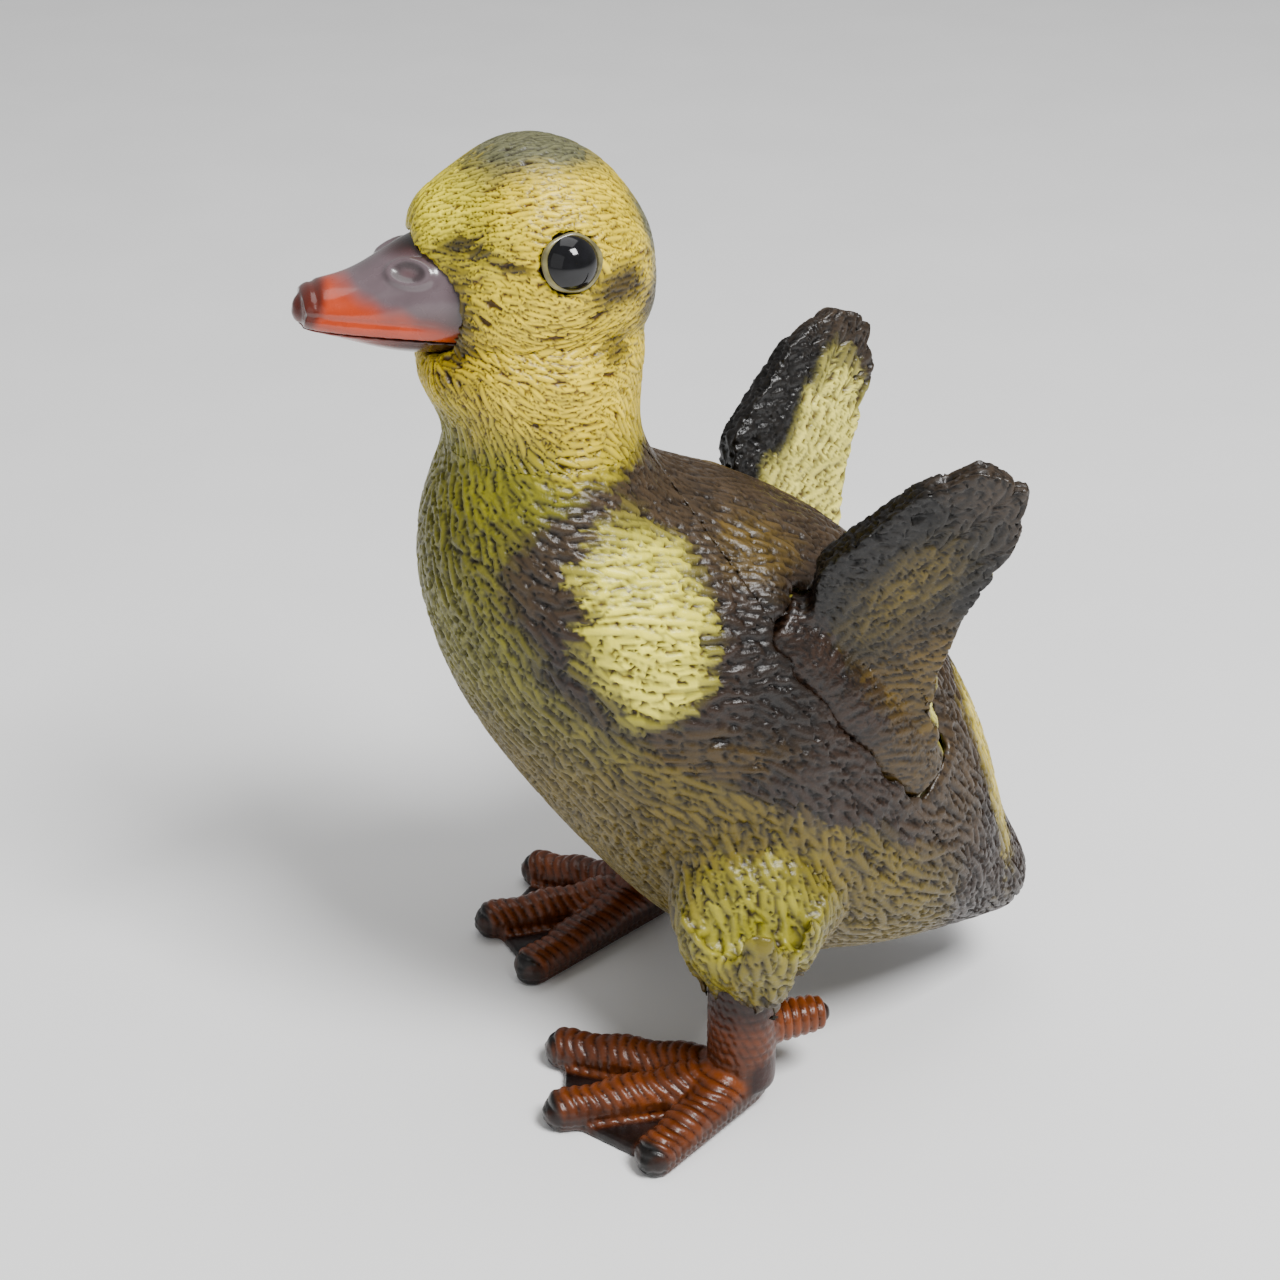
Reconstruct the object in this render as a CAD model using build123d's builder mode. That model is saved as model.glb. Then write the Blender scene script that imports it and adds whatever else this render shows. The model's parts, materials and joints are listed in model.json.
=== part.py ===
"""Duckling motion wing decoy: a hollow cast duckling whose two wings flap on a geared drive.

Frame: millimetres, +Z up, the bill points to -Y, the bird's left side is +X. The origin is on the floor,
under the middle of the bounding box.
"""

import os
from math import atan2, cos, degrees, pi, radians, sin, sqrt

from build123d import *

os.makedirs("parts", exist_ok=True)

# Overall sizes of the bird
body_half_width = 37.5  # widest half breadth of the trunk
head_centre = (-29.5, 158.4)  # Y, Z
wall = 2.4  # thickness of the cast shells

# Trunk profile: (belly or breast Y, Z), (rump or back Y, Z), breadth as a share of body_half_width
trunk_stations = [
    ((63.5, 14.5), (70.5, 24.0), 0.23),
    ((55.5, 14.7), (67.6, 31.5), 0.39),
    ((47.0, 15.0), (64.0, 39.0), 0.52),
    ((28.0, 15.5), (59.5, 54.0), 0.75),
    ((3.0, 20.0), (53.5, 69.0), 0.91),
    ((-17.0, 37.0), (43.5, 85.5), 1.0),
    ((-34.0, 60.0), (27.5, 102.5), 1.0),
    ((-46.0, 82.0), (7.5, 113.5), 0.92),
    ((-50.5, 103.0), (-6.0, 119.5), 0.77),
    ((-48.0, 117.5), (-9.5, 126.0), 0.63),
    ((-45.2, 127.5), (-10.3, 131.0), 0.53),
    ((-48.0, 136.0), (-9.7, 138.5), 0.53),
    ((-48.0, 144.0), (-9.6, 146.5), 0.52),
    ((-43.5, 151.5), (-13.0, 153.0), 0.42),
]
seam_top = (-8.0, 121.0)  # Y, Z where the seam between the front and back shells starts at the nape
seam_foot = (63.0, 16.0)  # Y, Z where it ends under the tail
neck_seam = 127.0  # height of the seam between the head and the shells

# Head: (Y, middle Z, half height, half width) of its cross-sections, from the bill to the back of the head
head_stations = [
    (-49.8, 160.5, 6.5, 5.0),
    (-48.0, 159.0, 12.0, 8.0),
    (-44.0, 157.5, 16.8, 11.4),
    (-38.0, 158.5, 19.2, 16.6),
    (-31.0, 159.5, 20.5, 20.6),
    (-24.0, 159.2, 20.2, 20.6),
    (-16.0, 158.0, 16.9, 17.0),
    (-10.2, 156.5, 11.0, 10.5),
    (-8.2, 156.0, 5.5, 5.0),
]

# Bill: (top Y, Z), (bottom Y, Z), half width, from the face to the tip
bill_stations = [
    ((-35.0, 163.5), (-34.5, 145.0), 10.5),
    ((-42.0, 165.5), (-41.5, 143.6), 11.6),
    ((-49.0, 165.0), (-48.5, 144.0), 10.2),
    ((-54.7, 162.2), (-54.2, 145.0), 9.0),
    ((-60.0, 159.5), (-59.6, 146.8), 8.2),
    ((-65.0, 158.3), (-64.6, 148.6), 7.4),
    ((-69.0, 156.6), (-68.8, 150.2), 5.6),
]
bill_nail_radius = 3.3
bill_tip = -70.5  # Y of the foremost point
mouth_back = (-36.0, 146.6)  # Y, Z of the line between upper and lower bill, at the face
mouth_front = (-70.0, 151.2)
mouth_gap = 0.15

# Glass eyes
eye_radius = 5.2
eye_centre = (17.6, -26.5, 163.5)  # left eye
eye_stem = 3.0  # from the eye's centre to its flat back

# Wings and their drive. The drive has its own axes: X across, S towards the back, V up along the shafts.
drive_centre = (20.5, 80.0)  # Y, Z of the gear plane
drive_lean = 40.0  # angle of the wing shafts from upright
wing_axis_x = 23.5
wing_splay = 20.5  # angle of the raised wing out from the body
wing_fold_in = 6.0
wing_spread = 42.0
wing_thickness = 6.5
wing_corner_radius = 3.0
barrel_radius = 10.3
barrel_end_radius = 7.4
barrel_top = 22.0
barrel_bottom = -25.0
barrel_gap = 0.4  # round the wing root in its socket
wing_outline = [  # distance out from the shaft, distance up along it
    (3, 19.5), (9.5, 20), (16, 26.5), (38, 29), (49.5, 26.5),
    (54, 18.5), (49, 10.5), (29, 1.5), (18, -7), (9.5, -20),
]
shaft_radius = 1.5
running_gap = 0.04

wing_teeth = 12
idler_teeth = 19
gear_width = 5.0
gear_addendum = 0.8  # stub teeth, in modules
gear_dedendum = 1.05
gear_backlash = 0.16  # in modules, taken off each tooth's width
gear_pressure_angle = 20.0
idler_pin_radius = 1.25

plate = 2.2  # wall of the drive frame
frame_front = -15.0  # S of the front face of the frame
bush_wall = 0.9
clip_width = 0.7
clip_radius = 2.9

# Geared motor
motor_across = 12.0
motor_deep = 10.0
motor_can_length = 15.0
gearbox_length = 9.0
motor_shaft_radius = 1.5

# Power
cell_radius = 5.25
cell_length = 44.5
cell_height = 28.5
cell_pitch = 11.2
tray_wall = 1.4
tray_front = 6.0
spring_length = 2.2
door_gap = 0.35
hinge_radius = 1.7
hinge_length = 10.0
hinge_pin_radius = 0.6
hinge_pin_grip = 2.5  # length of pin held in the shell at each end

# Legs
foot_x = 33.5
foot_y = 1.5
shank_radius = 6.6
shank_top = 31.0
leg_pin_radius = 2.0
leg_pin_foot = 6.0
leg_pin_top = 45.0
thigh_radii = (12.0, 17.0, 16.0)
thigh_centre = (30.0, 5.0, 43.0)
toe_tips = [(14.5, -28.5), (33.0, -33.0), (50.0, -19.5)]  # X, Y, from inner to outer toe of the left foot
toe_base_radius = 5.6
toe_tip_radius = 4.2
hind_toe_tip = (29.5, 16.5, 14.0)
hind_toe_radius = 4.7
web_thickness = 2.4
sole = 0.8  # depth of toe that the flat sole takes off

screw_radius = 1.1
screw_head_radius = 2.0
screw_head = 1.3
post_radius = 3.2
lead_radius = 0.55

shoulder_radius = 8.2  # swelling of the skin that covers each top wing bearing
shoulder_at = (22.6, 0.0, 24.6)  # in the drive's axes

lean = radians(drive_lean)
drive_plane = Plane(
    origin=(0, *drive_centre), x_dir=(1, 0, 0), z_dir=(0, -sin(lean), cos(lean))
)
gear_module = 2 * wing_axis_x / (wing_teeth + 2 * idler_teeth)
wing_gear_radius = gear_module * wing_teeth / 2
idler_radius = gear_module * idler_teeth / 2
idler_x = idler_radius
motor_x = idler_x
motor_s = -(idler_radius + wing_gear_radius)
gear_reach = gear_addendum * gear_module


def save(piece, name):
    piece.label = name
    export_step(piece, f"parts/{name}.step")
    return piece


def driven(x=0.0, s=0.0, v=0.0):
    """Plane whose Z runs up the wing shafts, through a point given in the drive's axes."""
    return Plane(drive_plane.from_local_coords((x, s, v)), x_dir=(1, 0, 0), z_dir=drive_plane.z_dir)


def section_plane(low, high):
    """Plane across the bird through two profile points, its Y from the low one to the high one."""
    rise = Vector(0, high[0] - low[0], high[1] - low[1])
    middle = ((low[0] + high[0]) / 2, (low[1] + high[1]) / 2)
    return Plane(origin=(0, *middle), x_dir=(1, 0, 0), z_dir=Vector(1, 0, 0).cross(rise)), rise.length / 2


def trunk_solid(inset=0.0):
    """Trunk as one smooth body, or the hollow that leaves a wall of the inset all round."""
    stations = list(trunk_stations)
    if inset:
        (low_y, low_z), (high_y, high_z), share = stations[-1]
        stations[-1] = ((low_y, low_z + wall), (high_y, high_z + wall), share)
    with BuildPart() as trunk:
        for low, high, share in stations:
            across, half_depth = section_plane(low, high)
            with BuildSketch(across):
                Ellipse(half_depth - inset, share * body_half_width - inset, rotation=90)
        loft()
        if inset:
            tail_end, _ = section_plane(*trunk_stations[0][:2])
            split(bisect_by=tail_end.offset(inset), keep=Keep.TOP)
    return trunk.part


def head_solid(inset=0.0):
    """Head as one smooth body, or its hollow."""
    with BuildPart() as head:
        for y, middle, half_height, half_width in head_stations[1:-1] if inset else head_stations:
            with BuildSketch(Plane(origin=(0, y, middle), x_dir=(1, 0, 0), z_dir=(0, 1, 0))):
                Ellipse(half_height - inset, half_width - inset, rotation=90)
        loft()
    return head.part


def thigh_solid(side):
    with BuildPart() as thigh:
        Sphere(1)
        scale(by=thigh_radii)
    return thigh.part.moved(Location((side * thigh_centre[0], thigh_centre[1], thigh_centre[2])))


def seam_half(back, reach=200.0, lead=0.0):
    """Large block behind the seam plane, or in front of it; lead carries it across the plane."""
    run = Vector(0, seam_foot[0] - seam_top[0], seam_foot[1] - seam_top[1])
    normal = Vector(1, 0, 0).cross(run) * (1 if back else -1)
    with BuildPart() as half:
        with BuildSketch(Plane(origin=(0, *seam_top), x_dir=(1, 0, 0), z_dir=normal).offset(-lead)):
            Rectangle(400, 400)
        extrude(amount=reach + lead)
    return half.part


def block(x_range, y_range, z_range):
    corner = Vector(x_range[0], y_range[0], z_range[0])
    size = (x_range[1] - x_range[0], y_range[1] - y_range[0], z_range[1] - z_range[0])
    with BuildPart() as made:
        with Locations(corner):
            Box(*size, align=(Align.MIN, Align.MIN, Align.MIN))
    return made.part


def drive_block(x_range, s_range, v_range):
    with BuildPart() as made:
        with BuildSketch(driven(v=v_range[0])):
            with Locations(((x_range[0] + x_range[1]) / 2, (s_range[0] + s_range[1]) / 2)):
                Rectangle(x_range[1] - x_range[0], s_range[1] - s_range[0])
        extrude(amount=v_range[1] - v_range[0])
    return made.part


def drive_rod(radius, x, s, v_range, bore=0.0):
    """Round rod or sleeve along the wing shafts' direction."""
    with BuildPart() as rod:
        with BuildSketch(driven(x, s, v_range[0])):
            Circle(radius)
            if bore:
                Circle(bore, mode=Mode.SUBTRACT)
        extrude(amount=v_range[1] - v_range[0])
    return rod.part


def barrel_solid(side, extra=0.0):
    """Spindle-shaped wing root about the wing shaft."""
    top, bottom = barrel_top + extra, barrel_bottom - extra
    axis_plane = Plane(
        drive_plane.from_local_coords((side * wing_axis_x, 0, 0)), x_dir=(1, 0, 0), z_dir=-drive_plane.y_dir
    )
    with BuildPart() as barrel:
        with BuildSketch(axis_plane):
            with BuildLine():
                ends = [(barrel_end_radius + extra, bottom), (barrel_end_radius + extra, top)]
                Line((0, bottom), ends[0])
                ThreePointArc(ends[0], (barrel_radius + extra, (top + bottom) / 2), ends[1])
                Line(ends[1], (0, top))
                Line((0, top), (0, bottom))
            make_face()
        revolve(axis=Axis(axis_plane.origin, drive_plane.z_dir))
    return barrel.part


def wing_slot(side):
    """Wedge that the wing blade sweeps through the skin, about the wing shaft."""
    margin = degrees(atan2(wing_thickness / 2 + barrel_gap, barrel_radius))
    low = 90 - wing_splay - wing_spread - margin
    high = 90 - wing_splay + wing_fold_in + margin
    reach = 2 * barrel_radius
    with BuildPart() as slot:
        with BuildSketch(driven(side * wing_axis_x, 0, barrel_bottom - barrel_gap)):
            with BuildLine():
                sweep_from, sweep_mid, sweep_to = (
                    (side * reach * cos(radians(a)), reach * sin(radians(a)))
                    for a in (low, (low + high) / 2, high)
                )
                Line((0, 0), sweep_from)
                ThreePointArc(sweep_from, sweep_mid, sweep_to)
                Line(sweep_to, (0, 0))
            make_face()
        extrude(amount=barrel_top - barrel_bottom + 2 * barrel_gap)
    return slot.part


def bill_solid():
    with BuildPart() as bill:
        for high, low, half_width in bill_stations:
            across, half_height = section_plane(low, high)
            with BuildSketch(across):
                Ellipse(half_height, half_width, rotation=90)
        loft()
        tip_top, tip_foot = bill_stations[-1][0][1], bill_stations[-1][1][1]
        with Locations((0, bill_tip + bill_nail_radius, (tip_top + tip_foot) / 2)):
            Sphere(bill_nail_radius)
    return bill.part


def mouth_half(upper):
    run = Vector(0, mouth_front[0] - mouth_back[0], mouth_front[1] - mouth_back[1])
    normal = Vector(1, 0, 0).cross(run) * (-1 if upper else 1)
    offset = normal.normalized() * (mouth_gap / 2)
    with BuildPart() as half:
        with BuildSketch(Plane(Vector(0, *mouth_back) + offset, x_dir=(1, 0, 0), z_dir=normal)):
            Rectangle(200, 200)
        extrude(amount=60)
    return half.part


def gear_solid(teeth, x, s, turn, bore, width=gear_width):
    """Spur gear about a shaft parallel to the wing shafts, with one tooth's middle at the angle turn."""
    pitch_radius = gear_module * teeth / 2
    base_radius = pitch_radius * cos(radians(gear_pressure_angle))
    tip_radius = pitch_radius + gear_reach
    root_radius = pitch_radius - gear_dedendum * gear_module

    def involute(radius):
        roll = sqrt(max((radius / base_radius) ** 2 - 1, 0))
        return roll - atan2(roll, 1)

    half_at_pitch = pi / (2 * teeth) - gear_backlash * gear_module / (2 * pitch_radius)
    start = max(base_radius, root_radius)
    flank = [start + (tip_radius - start) * step / 4 for step in range(5)]
    half_angles = [half_at_pitch + involute(pitch_radius) - involute(radius) for radius in flank]

    def at(radius, angle):
        return (radius * cos(angle), radius * sin(angle))

    with BuildPart() as gear:
        with BuildSketch(driven(x, s, -width / 2)):
            Circle(root_radius + 0.02)
            for tooth in range(teeth):
                middle = radians(turn) + 2 * pi * tooth / teeth
                left = [at(0.8 * root_radius, middle - half_angles[0])]
                left += [at(radius, middle - half) for radius, half in zip(flank, half_angles)]
                right = [at(radius, middle + half) for radius, half in zip(flank, half_angles)]
                right = [at(0.8 * root_radius, middle + half_angles[0]), *right]
                with BuildLine():
                    Polyline(*left, *reversed(right), close=True)
                make_face()
            Circle(bore, mode=Mode.SUBTRACT)
        extrude(amount=width)
    return gear.part


def screw_solid(plane, length, head=screw_head, radius=screw_radius, head_radius=screw_head_radius):
    """Pan-head screw whose head sits on the plane and whose shank runs along its -Z."""
    with BuildPart() as screw:
        with BuildSketch(plane):
            Circle(head_radius)
        extrude(amount=head)
        with BuildSketch(plane):
            Circle(radius)
        extrude(amount=-length)
        with BuildSketch(plane.offset(head)):
            Rectangle(head_radius * 1.3, 0.5)
            Rectangle(0.5, head_radius * 1.3)
        extrude(amount=-head / 2, mode=Mode.SUBTRACT)
    return screw.part


# ---------------------------------------------------------------- drive frame and shafts
barrel_end_gap = 0.8
top_plate = (barrel_top + barrel_end_gap, barrel_top + barrel_end_gap + plate)
bottom_plate = (barrel_bottom - barrel_end_gap - plate, barrel_bottom - barrel_end_gap)
arm_radius = shaft_radius + bush_wall + 1.0
frame_half = 13.0  # half breadth of the middle of the frame
shelf_top = -gear_width / 2 - 1.5
window = (motor_x - motor_across / 2 - 0.6, motor_x + motor_across / 2 + 0.6)
motor_screw_x = (motor_x - 4.4, motor_x + 4.4)
post_x = 19.0
post_v = (top_plate[0] - 5.0, bottom_plate[1] + 5.0)

with BuildPart() as drive_frame:
    for low, high in (top_plate, bottom_plate):
        with BuildSketch(driven(v=low)):
            with Locations((0, (frame_front + 9.0) / 2)):
                Rectangle(2 * frame_half, 9.0 - frame_front)
            with Locations((0, frame_front / 2 - arm_radius / 2)):
                Rectangle(2 * post_x + 2 * post_radius, -frame_front - arm_radius)
            for side in (1, -1):
                with Locations((side * wing_axis_x / 2, 0)):
                    Rectangle(wing_axis_x, 2 * arm_radius)
                with Locations((side * wing_axis_x, 0)):
                    Circle(arm_radius)
        extrude(amount=high - low)
    with BuildSketch(driven(v=bottom_plate[0])):
        with Locations((0, frame_front + plate / 2)):
            Rectangle(2 * post_x + 2 * post_radius, plate)
    extrude(amount=top_plate[1] - bottom_plate[0])
    shelf_s = (motor_s - motor_deep / 2 - 1, -9.0)
    add(drive_block((window[0] - plate, window[1] + plate), shelf_s, (shelf_top - plate, shelf_top)))
    motor_room = (motor_s - 20, motor_s + motor_deep / 2 + 0.3)
    add(drive_block(window, motor_room, (bottom_plate[0] - 1, shelf_top - plate)), mode=Mode.SUBTRACT)
    pinion_room = (motor_s - 20, frame_front + plate)
    add(drive_block(window, pinion_room, (shelf_top, gear_width)), mode=Mode.SUBTRACT)
    for x, radius in ((wing_axis_x, shaft_radius + bush_wall), (idler_x, idler_pin_radius)):
        for side in (1, -1):
            add(drive_rod(radius, side * x, 0, (bottom_plate[0] - 1, top_plate[1] + 1)), mode=Mode.SUBTRACT)
    shelf_holes = [(motor_shaft_radius + 0.8, motor_x)] + [(screw_radius + 0.1, x) for x in motor_screw_x]
    for radius, x in shelf_holes:
        add(drive_rod(radius, x, motor_s, (shelf_top - plate - 1, shelf_top + 1)), mode=Mode.SUBTRACT)
    for v in post_v:
        for side in (1, -1):
            hole = Plane(drive_plane.from_local_coords((side * post_x, 0, v)), z_dir=-drive_plane.y_dir)
            with BuildSketch(hole):
                Circle(screw_radius + 0.15)
            extrude(amount=-frame_front + 1, mode=Mode.SUBTRACT)
            with BuildSketch(hole):
                Circle(screw_head_radius + 0.4)
            extrude(amount=-frame_front - plate, mode=Mode.SUBTRACT)
save(drive_frame.part, "drive_frame")

for side, name in ((1, "left"), (-1, "right")):
    x = side * wing_axis_x
    shaft_end = clip_width + 1.2
    shaft_span = (bottom_plate[0] - shaft_end, top_plate[1] + shaft_end)
    save(drive_rod(shaft_radius, x, 0, shaft_span), f"wing_shaft_{name}")
    bush_radii = (shaft_radius + bush_wall, shaft_radius + running_gap)
    bushes = [drive_rod(bush_radii[0], x, 0, span, bush_radii[1]) for span in (top_plate, bottom_plate)]
    save(Compound(children=bushes), f"shaft_bushes_{name}")
    clips = [
        drive_rod(clip_radius, x, 0, (v, v + clip_width), shaft_radius)
        for v in (top_plate[1] + 0.2, bottom_plate[0] - 0.2 - clip_width)
    ]
    save(Compound(children=clips), f"shaft_clips_{name}")
    pin_span = (bottom_plate[0], top_plate[1])
    save(drive_rod(idler_pin_radius, side * idler_x, 0, pin_span), f"idler_pin_{name}")

# Tooth phases: a tooth of one gear faces a gap of the next along the line between their centres.
idler_left_turn = 0.0  # tooth points to the left wing gear
wing_left_turn = 180 + 180 / wing_teeth
idler_right_turn = 0.0 if idler_teeth % 2 else 180 / idler_teeth
wing_right_turn = 0.0
pinion_turn = 90 + (0.75 * idler_teeth % 1) * 360 / wing_teeth + 180 / wing_teeth

save(gear_solid(wing_teeth, wing_axis_x, 0, wing_left_turn, shaft_radius), "wing_gear_left")
save(gear_solid(wing_teeth, -wing_axis_x, 0, wing_right_turn, shaft_radius), "wing_gear_right")
idler_bore = idler_pin_radius + running_gap
save(gear_solid(idler_teeth, idler_x, 0, idler_left_turn, idler_bore), "idler_gear_left")
save(gear_solid(idler_teeth, -idler_x, 0, idler_right_turn, idler_bore), "idler_gear_right")


# ---------------------------------------------------------------- wings
def wing_solid(side):
    splay = radians(wing_splay)
    out = drive_plane.x_dir * (side * sin(splay)) + drive_plane.y_dir * cos(splay)
    root = drive_plane.from_local_coords((side * wing_axis_x, 0, 0))
    notch_half = gear_width / 2 + 0.6
    gear_clear = wing_gear_radius + gear_reach + 0.3
    with BuildPart() as wing:
        add(barrel_solid(side))
        with BuildSketch(Plane(root, x_dir=out, z_dir=out.cross(drive_plane.z_dir))) as outline:
            with BuildLine():
                Polyline((0, barrel_bottom + 3), (0, barrel_top - 3), *wing_outline, close=True)
            make_face()
            corners = outline.vertices()
            tips = [corner for corner in corners if (Vector(corner) - root).dot(out) > barrel_radius]
            fillet(tips, wing_corner_radius)
        extrude(amount=wing_thickness / 2, both=True)
        shaft_bore = (barrel_bottom - 1, barrel_top + 1)
        add(drive_rod(shaft_radius, side * wing_axis_x, 0, shaft_bore), mode=Mode.SUBTRACT)
        add(drive_rod(gear_clear, side * wing_axis_x, 0, (-notch_half, notch_half)), mode=Mode.SUBTRACT)
        with BuildSketch(driven(side * wing_axis_x, 0, -notch_half)):
            with BuildLine():
                reach = 2 * barrel_radius
                opening = (128.0, 197.0, 268.0)  # side that faces the idler gear over the whole travel
                inner = [(side * reach * cos(radians(a)), reach * sin(radians(a))) for a in opening]
                Line((0, 0), inner[0])
                ThreePointArc(*inner)
                Line(inner[2], (0, 0))
            make_face()
        extrude(amount=2 * notch_half, mode=Mode.SUBTRACT)
    return wing.part


save(wing_solid(1), "wing_left")
save(wing_solid(-1), "wing_right")


# ---------------------------------------------------------------- sizes of the battery bay and switch
tray_x = cell_pitch / 2 + cell_radius + 0.5 + tray_wall
tray_y = (tray_front, tray_front + 2 * tray_wall + cell_length + spring_length + 1.0)
tray_top = cell_height + cell_radius + 0.6 + tray_wall
tray_z = (cell_height - cell_radius - 0.9, tray_top)
door_x = tray_x - 0.6
hinge_at = (tray_y[1] - 1.8, 17.4)  # Y, Z
door_y = (tray_y[0] + 0.8, hinge_at[0] - 1.0)
door_z = (-2.5, 24.5)
switch_at = (-18.5, 25.0)
switch_travel = 3.0
knob_size = (2.6, 4.0)
knob_foot = 21.3
switch_size = (9.0, 13.0, 6.0)
switch_z = (tray_top - tray_wall - switch_size[2], tray_top - tray_wall)
knob_gap = 0.3


def knob_slot(z_range):
    half_x, half_y = knob_size[0] / 2 + knob_gap, knob_size[1] / 2 + knob_gap
    return block(
        (switch_at[0] - half_x, switch_at[0] + half_x),
        (switch_at[1] - half_y, switch_at[1] + half_y + switch_travel),
        z_range,
    )


def hinge_rod(radius, half_length):
    with BuildPart() as rod:
        with BuildSketch(Plane.YZ.offset(-half_length)):
            with Locations(hinge_at):
                Circle(radius)
        extrude(amount=2 * half_length)
    return rod.part


# ---------------------------------------------------------------- shells
def above(height):
    return block((-200, 200), (-200, 200), (height, height + 300))


def below(height):
    return block((-200, 200), (-200, 200), (height - 300, height))


def shoulder_solid(side, shrink=0.0):
    with BuildPart() as shoulder:
        ball_centre = (side * shoulder_at[0], shoulder_at[1], shoulder_at[2])
        with Locations(drive_plane.from_local_coords(ball_centre)):
            Sphere(shoulder_radius - shrink)
    return shoulder.part


def leg_bores(side):
    """Socket for the shank and blind bore for the leg pin."""
    with BuildPart() as bores:
        for radius, top in ((shank_radius, shank_top), (leg_pin_radius, leg_pin_top)):
            with BuildSketch(Plane.XY):
                with Locations((side * foot_x, foot_y)):
                    Circle(radius)
            extrude(amount=top)
    return bores.part


def post_solid(x, v, radius, length):
    """Round post, or its pilot hole, from the drive frame's front towards the breast."""
    with BuildPart() as post:
        front_point = drive_plane.from_local_coords((x, frame_front, v))
        with BuildSketch(Plane(front_point, z_dir=-drive_plane.y_dir)):
            Circle(radius)
        extrude(amount=length)
    return post.part


trunk_outer = trunk_solid()
trunk_inner = trunk_solid(wall)
trunk_lining = trunk_inner - trunk_solid(wall + 1.6)
bill = bill_solid()

with BuildPart() as wing_sockets:
    for side in (1, -1):
        add(barrel_solid(side, barrel_gap))
        add(wing_slot(side))
        add(shoulder_solid(side, wall))

with BuildPart() as door_opening:
    add(block((-door_x, door_x), door_y, door_z))
    half_barrel = hinge_length / 2 + door_gap
    add(hinge_rod(hinge_radius + door_gap, half_barrel))
    add(block((-half_barrel, half_barrel), (door_y[1] - 1, hinge_at[0]), (0, hinge_at[1] + hinge_radius)))
    add(hinge_rod(hinge_pin_radius, hinge_length / 2 + hinge_pin_grip))

with BuildPart() as front_shell:
    add(trunk_outer)
    for side in (1, -1):
        add(thigh_solid(side))
        add(shoulder_solid(side))
    add(trunk_inner, mode=Mode.SUBTRACT)
    for side in (1, -1):
        for v in post_v:
            add(post_solid(side * post_x, v, post_radius, 60.0) & trunk_outer)
    add(seam_half(back=True), mode=Mode.SUBTRACT)
    add(above(neck_seam), mode=Mode.SUBTRACT)
    for side in (1, -1):
        for v in post_v:
            add(post_solid(side * post_x, v, screw_radius, 9.0), mode=Mode.SUBTRACT)
        add(leg_bores(side), mode=Mode.SUBTRACT)
    add(wing_sockets.part, mode=Mode.SUBTRACT)
    add(door_opening.part, mode=Mode.SUBTRACT)
    add(knob_slot((5.0, switch_z[0])), mode=Mode.SUBTRACT)
save(front_shell.part, "front_shell")

with BuildPart() as back_shell:
    add(trunk_outer)
    for side in (1, -1):
        add(shoulder_solid(side))
    add(trunk_inner, mode=Mode.SUBTRACT)
    add(seam_half(back=False), mode=Mode.SUBTRACT)
    add(above(neck_seam), mode=Mode.SUBTRACT)
    add(wing_sockets.part, mode=Mode.SUBTRACT)
save(back_shell.part, "back_shell")

with BuildPart() as neck_sleeve:
    add(trunk_lining & block((-60, 60), (-100, 60), (neck_seam - 6, neck_seam + 5)))
save(neck_sleeve.part, "neck_sleeve")

with BuildPart() as seam_strips:
    add(trunk_lining & seam_half(back=True, reach=5.0, lead=5.0))
    for side in (1, -1):
        add(barrel_solid(side, 2 * barrel_gap), mode=Mode.SUBTRACT)
        add(wing_slot(side), mode=Mode.SUBTRACT)
        add(shoulder_solid(side, -1.0), mode=Mode.SUBTRACT)
        bearing_room = (bottom_plate[0] - 5, top_plate[1] + 5)
        add(drive_rod(arm_radius + 1.0, side * wing_axis_x, 0, bearing_room), mode=Mode.SUBTRACT)
    add(above(neck_seam - 7), mode=Mode.SUBTRACT)
    add(door_opening.part, mode=Mode.SUBTRACT)
    add(block((-tray_x - 1, tray_x + 1), (0, tray_y[1] + 1), (0, tray_top + 1)), mode=Mode.SUBTRACT)
save(seam_strips.part, "seam_strips")


# ---------------------------------------------------------------- head
def eye_solid():
    centre = Vector(*eye_centre)
    outward = (centre - Vector(0, *head_centre)).normalized()
    with BuildPart() as eye:
        with Locations(centre):
            Sphere(eye_radius)
        split(bisect_by=Plane(centre - outward * eye_stem, z_dir=outward), keep=Keep.TOP)
    return eye.part


eyes = {"left": eye_solid(), "right": mirror(eye_solid(), about=Plane.YZ)}
with BuildPart() as head_shell:
    add(trunk_outer & above(neck_seam))
    add(head_solid())
    add(head_solid(wall), mode=Mode.SUBTRACT)
    add(trunk_inner & above(neck_seam), mode=Mode.SUBTRACT)
    add(bill, mode=Mode.SUBTRACT)
    for eye in eyes.values():
        add(eye, mode=Mode.SUBTRACT)
save(head_shell.part, "head_shell")
for name, eye in eyes.items():
    save(eye, f"eye_{name}")
save(bill & mouth_half(upper=True), "upper_bill")
save(bill & mouth_half(upper=False), "lower_bill")


# ---------------------------------------------------------------- legs and feet
def toe_solid(start, start_radius, end, end_radius):
    """Tapered toe with round ends."""
    run = Vector(end) - Vector(start)
    with BuildPart() as toe:
        with BuildSketch(Plane(start, z_dir=run)):
            Circle(start_radius)
        with BuildSketch(Plane(end, z_dir=run)):
            Circle(end_radius)
        loft()
        for at, radius in ((start, start_radius), (end, end_radius)):
            with Locations(at):
                Sphere(radius)
    return toe.part


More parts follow.
